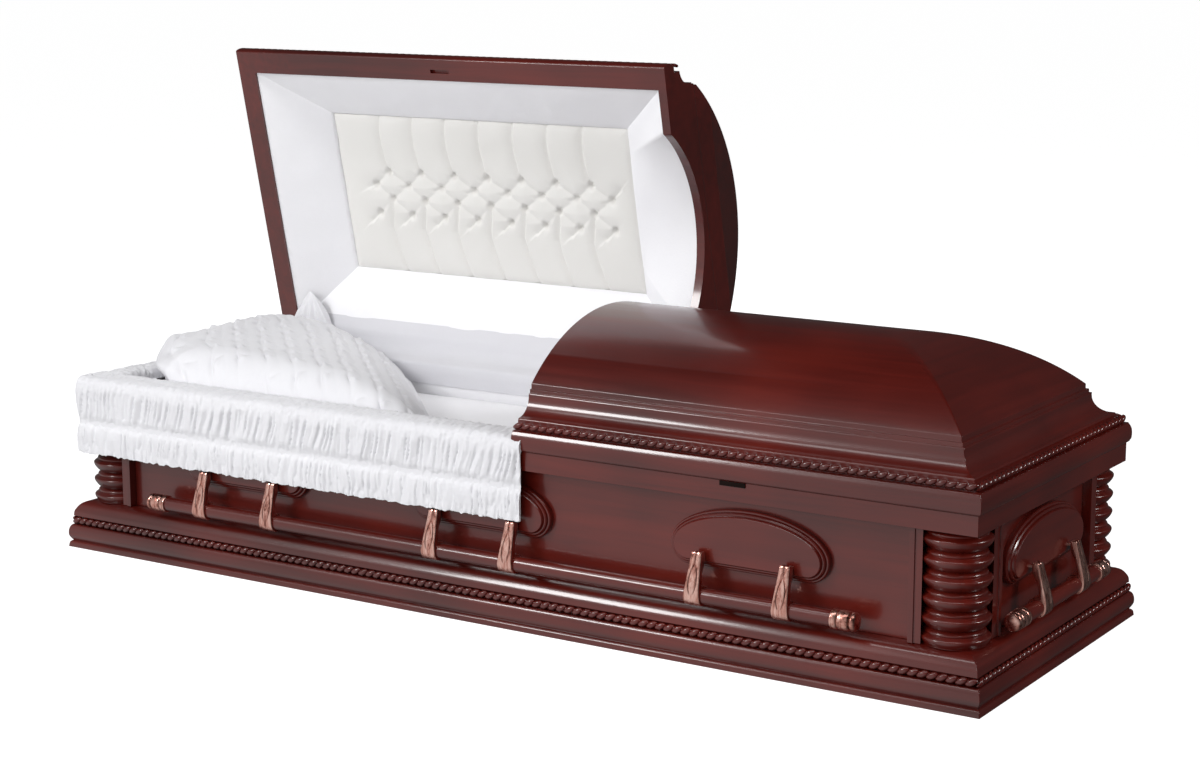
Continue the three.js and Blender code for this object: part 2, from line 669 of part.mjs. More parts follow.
// Box
add(parts, 'base_moulding', baseMoulding(), finish.wood);
add(parts, 'base_rope', ropeBead(BASE_ROPE), finish.wood);
const floorX = REACH_X - REBATE_INSET - GAP;
const floorY = REACH_Y - REBATE_INSET - GAP;
add(parts, 'floor_board', box(-floorX, floorX, -floorY, floorY, 0, FLOOR_THICK), finish.wood);
add(parts, 'top_rail', topRail(), finish.wood);
const panelLow = SHELF_Z + GAP;
const panelTop = RAIL_LOW_Z - GAP;
const sideEnd = POST_SIDE_X - GAP;
const endEnd = POST_END_Y - GAP;
for (const [name, side] of [['front_panel', -1], ['rear_panel', 1]]) {
  const outY = REACH_Y - PANEL_INSET;
  const [y0, y1] = side < 0 ? [-outY, -outY + PANEL_THICK] : [outY - PANEL_THICK, outY];
  add(parts, name, box(-sideEnd, sideEnd, y0, y1, panelLow, panelTop), finish.wood);
}
for (const [name, side] of [['head_panel', -1], ['foot_panel', 1]]) {
  const outX = REACH_X - PANEL_INSET;
  const [x0, x1] = side < 0 ? [-outX, -outX + PANEL_THICK] : [outX - PANEL_THICK, outX];
  add(parts, name, box(x0, x1, -endEnd, endEnd, panelLow, panelTop), finish.wood);
}

// Corners
const corners = [['foot_rear', 1, 1], ['head_rear', -1, 1], ['head_front', -1, -1], ['foot_front', 1, -1]];
for (const [name, sx, sy] of corners) {
  const post = facingOut(cornerPost().scale(sx, sy, 1));
  add(parts, `corner_post_${name}`, post, finish.wood);
  const column = add(parts, `corner_column_${name}`, cornerColumn(), finish.wood);
  column.position.set(sx * (REACH_X - COLUMN_INSET), sy * (REACH_Y - COLUMN_INSET), 0);
}

// Walls with their plates and swing handles, each built as if it faced the front
const side = { reach: REACH_Y, bar: SIDE_BAR_HALF, half: ARCH_HALF_SIDE };
const end = { reach: REACH_X, bar: END_BAR_HALF, half: ARCH_HALF_END };
const walls = [
  { name: 'front', turn: 0, ...side, plates: { head: -1, middle: 0, foot: 1 } },
  { name: 'rear', turn: 180, ...side, plates: { foot: -1, middle: 0, head: 1 } },
  { name: 'foot_end', turn: 90, ...end, plates: { centre: 0 } },
  { name: 'head_end', turn: -90, ...end, plates: { centre: 0 } },
];
for (const { name, turn, reach, bar, half, plates } of walls) {
  const wall = new THREE.Group();
  wall.rotation.z = THREE.MathUtils.degToRad(turn);
  parts.add(wall);
  const barMesh = add(wall, `handle_bar_${name}`, handleBar(bar), finish.wood);
  barMesh.position.set(0, -(reach - BAR_INSET), BAR_Z);
  for (const [place, step] of Object.entries(plates)) {
    const plate = add(wall, `arch_plate_${name}_${place}`, archPlate(half, reach), finish.wood);
    plate.position.x = step * ARCH_SPACING;
    for (const [hand, across] of [['a', -1], ['b', 1]]) {
      const arm = add(wall, `handle_arm_${name}_${place}_${hand}`, handleArm(), finish.copper);
      arm.position.set(step * ARCH_SPACING + across * ARM_SPREAD, -(reach - BAR_INSET), BAR_Z);
    }
  }
}

// Foot lid, shut
const footSplit = SPLIT_X + SPLIT_GAP;
add(parts, 'foot_lid', lid(footSplit, 1), finish.wood);
add(parts, 'foot_lid_rope', ropeBead(LID_ROPE, footSplit), finish.wood);
add(parts, 'foot_lid_lining', join(lidLining(footSplit, 1), footLidPanel()), finish.crepe);

// Head lid, turned up on its hinge
const headLid = new THREE.Group();
headLid.position.set(0, HINGE_Y, HINGE_Z);
headLid.rotation.x = -THREE.MathUtils.degToRad(OPEN_ANGLE);
parts.add(headLid);
const shut = new THREE.Group();
shut.position.set(0, -HINGE_Y, -HINGE_Z);
headLid.add(shut);
add(shut, 'head_lid', lid(SPLIT_X, -1), finish.wood);
add(shut, 'head_lid_rope', ropeBead(LID_ROPE, undefined, SPLIT_X), finish.wood);
add(shut, 'head_lid_lining', lidLining(SPLIT_X, -1), finish.crepe);
add(shut, 'tufted_panel', tuftedPanel(SPLIT_X, -1), finish.velvet);

// Hinges and catches
const railEnd = REACH_X - RAIL_INSET - 22;
add(parts, 'head_lid_hinge_strip', hinge(-railEnd, SPLIT_X - 12), finish.hinge);
add(parts, 'foot_lid_hinge_strip', hinge(SPLIT_X + 12, railEnd), finish.hinge);
add(parts, 'head_catch', catchPlate(HEAD_CATCH_X), finish.catch);
add(parts, 'foot_catch', catchPlate(FOOT_CATCH_X), finish.catch);

// Soft goods
add(parts, 'bed', bed(), finish.crepe);
add(parts, 'body_lining', bodyLining(), finish.crepe);
add(parts, 'pillow', pillow(), finish.crepe);
add(parts, 'skirt', skirt(), finish.crepe);
add(parts, 'hinge_apron', hingeApron(), finish.crepe);

export default parts;
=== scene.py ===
import json
import math

import bmesh
import bpy
import numpy as np
from mathutils import Matrix, Vector


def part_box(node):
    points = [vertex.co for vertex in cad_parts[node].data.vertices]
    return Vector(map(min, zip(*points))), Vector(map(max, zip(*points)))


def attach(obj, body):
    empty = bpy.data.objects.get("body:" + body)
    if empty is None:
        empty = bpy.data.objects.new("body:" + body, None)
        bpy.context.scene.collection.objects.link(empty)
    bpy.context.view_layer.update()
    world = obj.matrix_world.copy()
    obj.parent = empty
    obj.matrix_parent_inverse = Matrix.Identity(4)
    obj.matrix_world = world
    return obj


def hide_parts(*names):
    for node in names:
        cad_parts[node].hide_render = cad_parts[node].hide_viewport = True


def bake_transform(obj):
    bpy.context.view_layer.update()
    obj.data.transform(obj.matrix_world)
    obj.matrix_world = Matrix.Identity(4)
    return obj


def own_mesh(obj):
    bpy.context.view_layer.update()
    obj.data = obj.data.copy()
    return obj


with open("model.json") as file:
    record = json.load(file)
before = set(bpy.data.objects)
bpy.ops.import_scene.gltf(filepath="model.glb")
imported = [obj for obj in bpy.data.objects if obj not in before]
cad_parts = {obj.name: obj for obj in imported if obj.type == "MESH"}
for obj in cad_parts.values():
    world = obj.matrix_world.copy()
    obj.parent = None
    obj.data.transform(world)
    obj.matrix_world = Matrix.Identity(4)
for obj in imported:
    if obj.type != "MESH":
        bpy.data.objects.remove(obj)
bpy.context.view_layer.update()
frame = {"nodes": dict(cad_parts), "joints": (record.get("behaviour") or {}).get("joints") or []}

# Sizes are in millimetres; makePiece turns them into metres. +X is the foot end, +Y the hinged side.
mm = 0.001


def nodeBox(name):
    return [[c / mm for c in corner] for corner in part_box(name)]


baseBox, railBox, lidBox = nodeBox("base_moulding"), nodeBox("top_rail"), nodeBox("foot_lid")
hinge = next(joint for joint in frame["joints"] if joint["name"] == "head_lid_hinge")
casket = {
    "reachX": baseBox[1][0],
    "reachY": baseBox[1][1],
    "shelfZ": baseBox[1][2],
    "railLowZ": railBox[0][2],
    "lidLowZ": lidBox[0][2],
    "domeTopZ": lidBox[1][2],
    "splitX": lidBox[0][0],
    "hingeY": hinge["pos_m"][1] / mm,
    "hingeZ": hinge["pos_m"][2] / mm,
    "openAngle": hinge["range_deg"][1],
}
reachX, reachY = casket["reachX"], casket["reachY"]
hingePoint = Vector((0, casket["hingeY"] * mm, casket["hingeZ"] * mm))
openTurn = (
    Matrix.Translation(hingePoint)
    @ Matrix.Rotation(-math.radians(casket["openAngle"]), 4, "X")
    @ Matrix.Translation(-hingePoint)
)
print("frame loaded:", len(frame["nodes"]), "nodes")


# Camera at the height of a standing person, by the foot end
camera = {
    "place": (2.576, -3.927, 1.309),
    "turn": (79.12, 0, 32.61),  # degrees
    "lens": 71.79,
    "sensor": 36,
}


def makeCamera():
    data = bpy.data.cameras.new("camera")
    data.lens, data.sensor_width, data.sensor_fit = camera["lens"], camera["sensor"], "HORIZONTAL"
    data.clip_end = studio["floor"]
    thing = bpy.data.objects.new("camera", data)
    thing.location = camera["place"]
    thing.rotation_euler = [math.radians(a) for a in camera["turn"]]
    bpy.context.scene.collection.objects.link(thing)
    bpy.context.scene.camera = thing


# Shader maths as plain expressions
class Signal:
    def __init__(self, net, socket):
        self.net, self.socket = net, socket

    def maths(self, operation, *others):
        values = {i: other for i, other in enumerate((self,) + others)}
        return self.net.node("ShaderNodeMath", {"operation": operation}, values)

    def __add__(self, other):
        return self.maths("ADD", other)

    def __mul__(self, other):
        return self.maths("MULTIPLY", other)

    def __sub__(self, other):
        return self.maths("SUBTRACT", other)

    def __rsub__(self, other):
        return self.net.node("ShaderNodeMath", {"operation": "SUBTRACT"}, {0: other, 1: self})

    __radd__, __rmul__ = __add__, __mul__


class Net:
    def __init__(self, tree):
        self.tree = tree

    def node(self, kind, settings=None, sockets=None, out=0):
        made = self.tree.nodes.new(kind)
        for key, value in (settings or {}).items():
            if key == "stops":
                self.setStops(made.color_ramp, value)
            else:
                setattr(made, key, value)
        for key, value in (sockets or {}).items():
            if isinstance(value, Signal):
                self.tree.links.new(value.socket, made.inputs[key])
            else:
                made.inputs[key].default_value = value
        return Signal(self, made.outputs[out])

    def setStops(self, ramp, stops):
        while len(ramp.elements) < len(stops):
            ramp.elements.new(0.5)
        for element, (place, shade) in zip(ramp.elements, stops):
            element.position, element.color = place, shade

    def coordinates(self, scale):
        place = self.node("ShaderNodeTexCoord", out="Object")
        return self.node("ShaderNodeMapping", None, {"Vector": place, "Scale": scale})

    def noise(self, vector, scale, detail=3, roughness=0.5, distortion=0):
        sockets = {"Vector": vector, "Scale": scale, "Detail": detail, "Roughness": roughness,
                   "Distortion": distortion}
        return self.node("ShaderNodeTexNoise", None, sockets)

    def ramp(self, factor, *stops):
        return self.node("ShaderNodeValToRGB", {"stops": stops}, {0: factor})

    def toned(self, factor, tones):
        return self.ramp(factor, *((place, colour(text)) for place, text in tones))

    def mixColour(self, factor, first, second):
        return self.node("ShaderNodeMix", {"data_type": "RGBA"},
                         {0: factor, 6: colour(first), 7: colour(second)}, out=2)

    def bump(self, height, strength, distance, under=None):
        sockets = {"Strength": strength, "Distance": distance, "Height": height}
        if under is not None:
            sockets["Normal"] = under
        return self.node("ShaderNodeBump", None, sockets)


def colour(text):
    parts = [int(text[i:i + 2], 16) / 255 for i in (0, 2, 4)]
    return [c / 12.92 if c <= 0.04045 else ((c + 0.055) / 1.055) ** 2.4 for c in parts] + [1]


def newMaterial(name):
    material = bpy.data.materials.new(name)
    material.use_nodes = True
    net = Net(material.node_tree)
    shader = material.node_tree.nodes["Principled BSDF"]

    def connect(socket, value):
        if isinstance(value, Signal):
            material.node_tree.links.new(value.socket, shader.inputs[socket])
        else:
            shader.inputs[socket].default_value = value

    return material, net, connect


# Stained hardwood under a clear lacquer; the grain runs along the given axis
wood = {
    "tones": [(0.3, "3a0b07"), (0.52, "53120b"), (0.75, "691b10")],
    "grainLength": 2.2, "grainWidth": 46, "cloudScale": 3.1, "streakShare": 0.38,
    "poreScale": 5, "poreStrength": 0.05, "poreDepth": 0.0004,
    "roughness": 0.34, "roughnessSpread": 0.12, "lacquer": 0.7, "lacquerRoughness": 0.12, "ior": 1.45,
}


def polishedWood(axis, mitred=False):
    material, net, connect = newMaterial(f"polished wood {axis}" + (" mitred" if mitred else ""))
    stretch = [wood["grainWidth"]] * 3
    stretch["xyz".index(axis)] = wood["grainLength"]
    grain = lambda scale: net.noise(net.coordinates(scale), 1, 5, 0.6, 0.6)
    streaks = grain(stretch)
    clouds = net.noise(net.coordinates((1, 1, 1)), wood["cloudScale"], 2)
    pores = net.noise(net.coordinates([s * wood["poreScale"] for s in stretch]), 1, 2, 0.7)
    if mitred:  # a frame's end members run the other way, from the mitre on
        place = net.node("ShaderNodeTexCoord", out="Object")
        x, y = (net.node("ShaderNodeSeparateXYZ", None, {0: place}, out=axis).maths("ABSOLUTE")
                for axis in "XY")
        atEnd = (x - y).maths("GREATER_THAN", (reachX - reachY) * mm)
        streaks = streaks + (grain([stretch[1], stretch[0], stretch[2]]) - streaks) * atEnd
    tone = streaks * wood["streakShare"] + clouds * (1 - wood["streakShare"])
    connect("Base Color", net.toned(tone, wood["tones"]))
    connect("Roughness", wood["roughness"] + (streaks - 0.5) * wood["roughnessSpread"])
    connect("Coat Weight", wood["lacquer"])
    connect("Coat Roughness", wood["lacquerRoughness"])
    connect("IOR", wood["ior"])
    connect("Normal", net.bump(pores, wood["poreStrength"], wood["poreDepth"]))
    return material


metal = {
    "copperTones": [(0.34, "7d4f45"), (0.45, "cf9486"), (0.62, "f0c3b6")], "wornShare": 0.75, "brushScale": 3,
    "roughness": 0.22, "roughnessSpread": 0.14, "scratchStrength": 0.06, "scratchDepth": 0.0003,
    "plainStretch": (30, 400, 400), "plainShadow": "1d1715", "plainSpread": 0.1,
}


def antiqueCopper(name, stretch):
    material, net, connect = newMaterial(name)
    worn = net.noise(net.coordinates(stretch), 1, 3, 0.5, 0.5)
    brushed = net.noise(net.coordinates([s * metal["brushScale"] for s in stretch]), 1, 2)
    tone = worn * metal["wornShare"] + brushed * (1 - metal["wornShare"])
    connect("Base Color", net.toned(tone, metal["copperTones"]))
    connect("Metallic", 1)
    connect("Roughness", metal["roughness"] + brushed * metal["roughnessSpread"])
    connect("Normal", net.bump(brushed, metal["scratchStrength"], metal["scratchDepth"]))
    return material


def plainMetal(name, tone, roughness):
    material, net, connect = newMaterial(name)
    brushed = net.noise(net.coordinates(metal["plainStretch"]), 1, 2)
    connect("Base Color", net.mixColour(brushed, tone, metal["plainShadow"]))
    connect("Metallic", 1)
    connect("Roughness", roughness + brushed * metal["plainSpread"])
    return material


cloth = {
    "softScale": 9, "softShare": 0.5, "crinkleShare": 0.25, "roughness": 0.82, "roughnessSpread": 0.12,
    "sheen": 0.25, "sheenRoughness": 0.5, "threadStrength": 0.25, "threadDepth": 0.0003,
    "crinkleStrength": 0.35, "crinkleDepth": 0.0012,
}


def whiteCloth(name, tone, shadow, crinkle=240, weave=1500):
    material, net, connect = newMaterial(name)
    place = net.coordinates((1, 1, 1))
    soft = net.noise(place, cloth["softScale"], 3)
    crinkles = net.noise(place, crinkle, 4, 0.65)
    threads = net.noise(place, weave, 1)
    shadowShare = soft * cloth["softShare"] + crinkles * cloth["crinkleShare"]
    connect("Base Color", net.mixColour(shadowShare, tone, shadow))
    connect("Roughness", cloth["roughness"] + threads * cloth["roughnessSpread"])
    connect("Sheen Weight", cloth["sheen"])
    connect("Sheen Roughness", cloth["sheenRoughness"])
    fine = net.bump(threads, cloth["threadStrength"], cloth["threadDepth"])
    connect("Normal", net.bump(crinkles, cloth["crinkleStrength"], cloth["crinkleDepth"], fine))
    return material


woodX, woodY, woodZ = (polishedWood(axis) for axis in "xyz")
woodFrame = polishedWood("x", True)
copper = antiqueCopper("antique copper", (60, 60, 60))
strapCopper = antiqueCopper("antique copper straps", (170, 170, 16))
hingeMetal = plainMetal("hinge metal", "8a6a58", 0.34)
catchMetal = plainMetal("catch metal", "2c2220", 0.42)
crepe = whiteCloth("white crepe", "e3e3e6", "d6d5da")
# The same white crepe painted lighter: painted light on the lid borders, which face down, and on the bed and
# the wall lining, which lie in shade
crepePaintedLighter = whiteCloth("white lid crepe", "f0f0f2", "e4e3e8")
# The same white crepe painted darker: painted shade on the hinge apron, which the lamps light strongly
crepePaintedDarker = whiteCloth("white apron crepe", "d4d4d8", "cac9cf")
velvet = whiteCloth("white velvet", "e2e1de", "d5d3cf", 420, 2100)
print("materials made")


# Mesh helpers. A piece's name is its words run together, so that it differs from the frame's own nodes.
def pieceName(words):
    first, *others = words.replace("_", " ").split()
    return first + "".join(word.capitalize() for word in others)


def shadeByAngle(mesh, degrees):
    mesh.shade_smooth()
    mesh.set_sharp_from_angle(angle=math.radians(degrees))


def makePiece(name, points, faces, material, sharp=38, turn=None):
    name = pieceName(name)
    mesh = bpy.data.meshes.new(name)
    mesh.from_pydata((np.asarray(points, float) * mm).tolist(), [], faces)
    mesh.materials.append(material)
    shell = bmesh.new()
    shell.from_mesh(mesh)
    bmesh.ops.remove_doubles(shell, verts=shell.verts, dist=1e-6)
    if shell.calc_volume(signed=True) < 0:
        bmesh.ops.reverse_faces(shell, faces=shell.faces)
    shell.to_mesh(mesh)
    shell.free()
    if turn is not None:
        mesh.transform(turn)
    shadeByAngle(mesh, sharp)
    piece = bpy.data.objects.new(name, mesh)
    bpy.context.scene.collection.objects.link(piece)
    return piece


def settle(piece, body, slot, *nodes):
    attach(piece, body)
    if nodes:
        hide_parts(*nodes)


def evaluatedMesh(piece):
    graph = bpy.context.evaluated_depsgraph_get()
    return bpy.data.meshes.new_from_object(piece.evaluated_get(graph), depsgraph=graph)


def bake(piece, sharp=38):
    done = evaluatedMesh(piece)
    piece.modifiers.clear()
    old, piece.data = piece.data, done
    bpy.data.meshes.remove(old)
    shadeByAngle(done, sharp)


def evenShading(piece):
    weighted = piece.modifiers.new("weighted", "WEIGHTED_NORMAL")
    weighted.keep_sharp = True
    weighted.weight = 80
    return piece


def soften(piece, width, segments=2, limit=40):
    bevel = piece.modifiers.new("bevel", "BEVEL")
    bevel.width, bevel.segments, bevel.limit_method = width * mm, segments, "ANGLE"
    bevel.angle_limit = math.radians(limit)
    bevel.use_clamp_overlap = True
    bake(piece)
    return evenShading(piece)


def join(name, *pieces):
    bpy.ops.object.select_all(action="DESELECT")
    for piece in pieces:
        piece.select_set(True)
    bpy.context.view_layer.objects.active = pieces[0]
    bpy.ops.object.join()
    pieces[0].name = pieceName(name)
    return pieces[0]


def carve(piece, *tools):
    for tool in tools:
        cut = piece.modifiers.new("cut", "BOOLEAN")
        cut.object, cut.operation, cut.solver = tool, "DIFFERENCE", "EXACT"
    bake(piece)
    for tool in tools:
        bpy.data.objects.remove(tool)


def gridFaces(rows, columns, wrapRows=False, wrapColumns=False, caps=False):
    across = np.arange(columns if wrapColumns else columns - 1)
    down = np.arange(rows if wrapRows else rows - 1)
    row, column = np.meshgrid(down, across, indexing="ij")
    nextRow, nextColumn = (row + 1) % rows, (column + 1) % columns
    corners = [row * columns + column, row * columns + nextColumn,
               nextRow * columns + nextColumn, nextRow * columns + column]
    faces = np.stack(corners, -1).reshape(-1, 4).tolist()
    if caps:
        faces.append(list(range(columns))[::-1])
        faces.append([(rows - 1) * columns + i for i in range(columns)])
    return faces


# A skin over rings of points, with its two end rings closed or joined to each other
def loft(name, rings, material, sharp=38, turn=None, endless=False):
    faces = gridFaces(len(rings), len(rings[0]), endless, True, not endless)
    return makePiece(name, np.vstack(rings), faces, material, sharp, turn)


def arcPoints(centre, radius, start, stop, steps):
    angles = np.radians(np.linspace(start, stop, steps + 1))
    return [(centre[0] + radius * math.cos(a), centre[1] + radius * math.sin(a)) for a in angles]


# A smooth line through the points
def smoothRun(points, steps=5):
    points = np.asarray(points, float)
    padded = np.vstack([2 * points[0] - points[1], points, 2 * points[-1] - points[-2]])
    line = []
    for i in range(len(points) - 1):
        a, b, c, d = padded[i:i + 4]
        for t in np.arange(steps) / steps:
            line.append(0.5 * (2 * b + (c - a) * t + (2 * a - 5 * b + 4 * c - d) * t ** 2
                               + (3 * b - a - 3 * c + d) * t ** 3))
    line.append(points[-1])
    return [tuple(p) for p in line]


noiseCells = 128


def clothNoise(x, y, seed):
    table = np.random.default_rng(seed).uniform(-1, 1, (noiseCells, noiseCells))
    x, y = np.asarray(x, float), np.asarray(y, float)
    column, row = np.floor(x).astype(int), np.floor(y).astype(int)
    u, v = x - column, y - row
    u, v = u * u * (3 - 2 * u), v * v * (3 - 2 * v)
    pick = lambda i, j: table[(column + i) % noiseCells, (row + j) % noiseCells]
    low = pick(0, 0) * (1 - u) + pick(1, 0) * u
    high = pick(0, 1) * (1 - u) + pick(1, 1) * u
    return low * (1 - v) + high * v


# One level of a rectangular moulding with slightly eased mitres. A lid stops square at its split end.
def levelRing(inset, z, ease=1.2, split=None, end=1, steps=3):
    x, y = reachX - inset, reachY - inset
    r = min(ease, max(y - 0.3, 0.2))
    corners = [(x - r, -y + r, 270), (x - r, y - r, 0)]
    if split is None:
        corners = [(-x + r, -y + r, 180)] + corners + [(-x + r, y - r, 90)]
    ring = [p for cx, cy, start in corners for p in arcPoints((cx, cy), r, start, start + 90, steps)]
    if split is not None:
        ring = [(split * end, -y)] + ring + [(split * end, y)]
    return [(px * end, py, z) for px, py in ring]


def moulding(name, profile, material, closed=False, split=None, end=1):
    rings = [levelRing(inset, z, split=split, end=end) for inset, z in profile]
    return loft(name, rings, material, endless=closed)


def plainBox(name, low, high, material):
    corners = [(x, y, z) for x in (low[0], high[0]) for y in (low[1], high[1]) for z in (low[2], high[2])]
    faces = [(0, 1, 3, 2), (4, 6, 7, 5), (0, 4, 5, 1), (2, 3, 7, 6), (0, 2, 6, 4), (1, 5, 7, 3)]
    return makePiece(name, corners, faces, material)


def lathePiece(name, profile, material, segments, centre=(0, 0), axis="z", sharp=38):
    rings = []
    for radius, height in profile:
        angles = [2 * math.pi * i / segments for i in range(segments)]
        ring = [(centre[0] + radius * math.cos(a), centre[1] + radius * math.sin(a)) for a in angles]
        rings.append([(height, u, v) if axis == "x" else (u, v, height) for u, v in ring])
    return loft(name, rings, material, sharp)


# Base moulding
base = {
    "foot": [(0, 0), (0.6, 5), (1.6, 9), (3.5, 11.5), (7.2, 13.5)],
    "ovolo": [(7.2, 13.5), (4, 18), (1, 24), (0.3, 30), (1.2, 38), (4, 45), (8, 48.5)],
    "groove": [(20.8, 48.9), (20.8, 66.2), (9, 66.8)],
    "shelf": [(9, 66.8), (10, 76), (14, 84), (20, 91.5), (29, 96.5), (40, casket["shelfZ"])],
    "rebate": 60,
    "innerInset": 80,
    "floorThick": 18.4,
}


def makeBase():
    profile = smoothRun(base["foot"], 2)[:-1] + smoothRun(base["ovolo"], 3) + base["groove"][:-1]
    profile += smoothRun(base["shelf"], 4)
    profile += [(base["innerInset"], casket["shelfZ"]), (base["innerInset"], base["floorThick"]),
                (base["rebate"], base["floorThick"]), (base["rebate"], 0)]
    piece = evenShading(moulding("base moulding", profile, woodFrame, closed=True))
    settle(piece, "root", "polished_wood", "base_moulding")


# Rope twist: strands leaning round a bead, set out along a straight side by Geometry Nodes
rope = {
    "pitch": 17.9,
    "coreShare": 0.56,
    "wrap": 104,  # degrees that half a strand wraps round the bead
    "lean": 0.5,
    "fatness": 0.4,
    "curl": 0.42,
    "steps": (11, 10),
    "base": {"inset": 11, "z": 57.5, "radius": 8.5},
    "lid": {"inset": 28.5, "z": 388.6, "radius": 8.1},
}


def ropeStrand(radius):
    rows, columns = rope["steps"]
    core = radius * rope["coreShare"]
    rings = []
    for i in range(rows):
        ring = []
        s = -1 + 2 * i / (rows - 1)
        wrap = math.radians(rope["wrap"]) * s
        taper = max(1 - abs(s) ** 3.2, 0.02) ** 0.5
        for j in range(columns):
            a = 2 * math.pi * j / columns
            side = math.cos(a) * taper * rope["pitch"] * rope["fatness"]
            lift = core + math.sin(a) * taper * (radius - core)
            turn = wrap - side * rope["curl"] / radius
            along = s * rope["pitch"] * rope["lean"] + side
            ring.append((along, -lift * math.cos(turn), lift * math.sin(turn)))
        rings.append(ring)
    return loft("rope strand", rings, woodX, 60)


def ropeTree(name):
    tree = bpy.data.node_groups.new(name, "GeometryNodeTree")
    for label, kind in [("Geometry", "NodeSocketGeometry"), ("Strand", "NodeSocketObject"),
                        ("Pitch", "NodeSocketFloat"), ("Core Radius", "NodeSocketFloat"),
                        ("Wood", "NodeSocketMaterial")]:
        tree.interface.new_socket(label, in_out="INPUT", socket_type=kind)
    tree.interface.new_socket("Geometry", in_out="OUTPUT", socket_type="NodeSocketGeometry")
    net = Net(tree)
    given = tree.nodes.new("NodeGroupInput")
    pick = {socket.name: Signal(net, socket) for socket in given.outputs if socket.name}
    spaced = net.node("GeometryNodeResampleCurve", {"mode": "LENGTH"},
                      {"Curve": pick["Geometry"], "Length": pick["Pitch"]})
    tangent = net.node("GeometryNodeInputTangent")
    facing = net.node("FunctionNodeAlignRotationToVector", {"axis": "X", "pivot_axis": "Z"},
                      {"Vector": tangent})
    strand = net.node("GeometryNodeObjectInfo", None, {"Object": pick["Strand"]}, out="Geometry")
    strands = net.node("GeometryNodeInstanceOnPoints", None,
                       {"Points": spaced, "Instance": strand, "Rotation": facing})
    section = net.node("GeometryNodeCurvePrimitiveCircle", None,
                       {"Resolution": 10, "Radius": pick["Core Radius"]})
    core = net.node("GeometryNodeCurveToMesh", None,
                    {"Curve": pick["Geometry"], "Profile Curve": section, "Fill Caps": True})
    both = net.node("GeometryNodeJoinGeometry", None, {"Geometry": strands})
    tree.links.new(core.socket, both.socket.node.inputs["Geometry"])
    solid = net.node("GeometryNodeRealizeInstances", None, {"Geometry": both})
    dressed = net.node("GeometryNodeSetMaterial", None, {"Geometry": solid, "Material": pick["Wood"]})
    ending = tree.nodes.new("NodeGroupOutput")
    tree.links.new(dressed.socket, ending.inputs[0])
    return tree


def shortened(start, stop, by):
    start, stop = np.array(start, float), np.array(stop, float)
    step = (stop - start) / np.linalg.norm(stop - start) * by
    return tuple(start + step), tuple(stop - step)


def ropePiece(name, size, tree, body, node, lowX=None, highX=None, turn=None):
    x, y = reachX - size["inset"], reachY - size["inset"]
    x0, x1 = (-x if lowX is None else lowX), (x if highX is None else highX)
    corners = [(x0, -y), (x1, -y), (x1, y), (x0, y)]
    sides = [(corners[i], corners[(i + 1) % 4]) for i in range(4)]
    if lowX is not None:
        sides.pop(3)
    if highX is not None:
        sides.pop(1)
    line = bpy.data.curves.new(name, "CURVE")
    line.dimensions = "3D"
    for start, stop in sides:
        spline = line.splines.new("POLY")
        spline.points.add(1)
        ends = shortened(start, stop, rope["pitch"] / 2)
        for point, (px, py) in zip(spline.points, ends):
            point.co = (px * mm, py * mm, size["z"] * mm, 1)
    piece = bpy.data.objects.new(name, line)
    bpy.context.scene.collection.objects.link(piece)
    strand = ropeStrand(size["radius"])
    nodes = piece.modifiers.new("rope", "NODES")
    nodes.node_group = tree
    values = {"Strand": strand, "Pitch": rope["pitch"] * mm, "Wood": woodX,
              "Core Radius": size["radius"] * rope["coreShare"] * mm}
    for item in tree.interface.items_tree:
        if item.in_out == "INPUT" and item.name in values:
            nodes[item.identifier] = values[item.name]
    mesh = evaluatedMesh(piece)
    made = bpy.data.objects.new(pieceName(name), mesh)
    bpy.context.scene.collection.objects.link(made)
    bpy.data.objects.remove(piece)
    bpy.data.objects.remove(strand)
    if turn is not None:
        mesh.transform(turn)
    shadeByAngle(mesh, 60)
    settle(made, body, "polished_wood", node)


# Corner columns: six turned rings, each with a narrower bead above it
column = {
    "inset": 86, "rings": 6, "pitch": 34.7, "firstRing": 112.3, "segments": 56,
    # radius and height from the ring's widest point, bottom to top
    "ring": [(46.6, -19.3), (49.5, -17.6), (54.4, -13.4), (58.2, -8.8), (61, -4), (62, -0.4), (61.2, 2),
             (58, 4.2), (54.6, 6.2)],
    "bead": [(52.8, 7.4), (53.8, 9.2), (53.2, 11.4), (51, 13.2), (48, 14.6), (46.6, 15.4)],
}
standing = (casket["shelfZ"] + 0.4, casket["railLowZ"] - 0.4)  # where columns and posts start and stop


def columnProfile():
    low, top = standing
    shape = smoothRun(column["ring"], 3) + smoothRun(column["bead"], 3)[:-1]
    middles = [column["firstRing"] + i * column["pitch"] for i in range(column["rings"])]
    line = [(r, middle + z) for middle in middles for r, z in shape]
    inside = [(r, z) for r, z in line if low < z < top]
    return [(0.5, low), (inside[0][0], low)] + inside + [(inside[-1][0], top), (0.5, top)]


def makeColumns():
    profile = columnProfile()
    corners = (("foot_rear", 1, 1), ("head_rear", -1, 1), ("head_front", -1, -1), ("foot_front", 1, -1))
    for corner, sx, sy in corners:
        centre = (sx * (reachX - column["inset"]), sy * (reachY - column["inset"]))
        name = f"corner_column_{corner}"
        piece = lathePiece(name, profile, woodZ, column["segments"], centre, sharp=50)
        settle(piece, "root", "polished_wood", name)
        makePost(corner, sx, sy)


# Corner posts: a round cove behind the column, and a raised edge where the wall panel meets it
post = {
    "inset": 34, "step": 3, "edge": 10, "sideX": 898, "endY": 205, "cove": 64.5, "inner": 72, "tongue": 16,
    "depth": 41, "back": 28, "behind": 9, "gap": 0.4, "ease": 0.7,
}


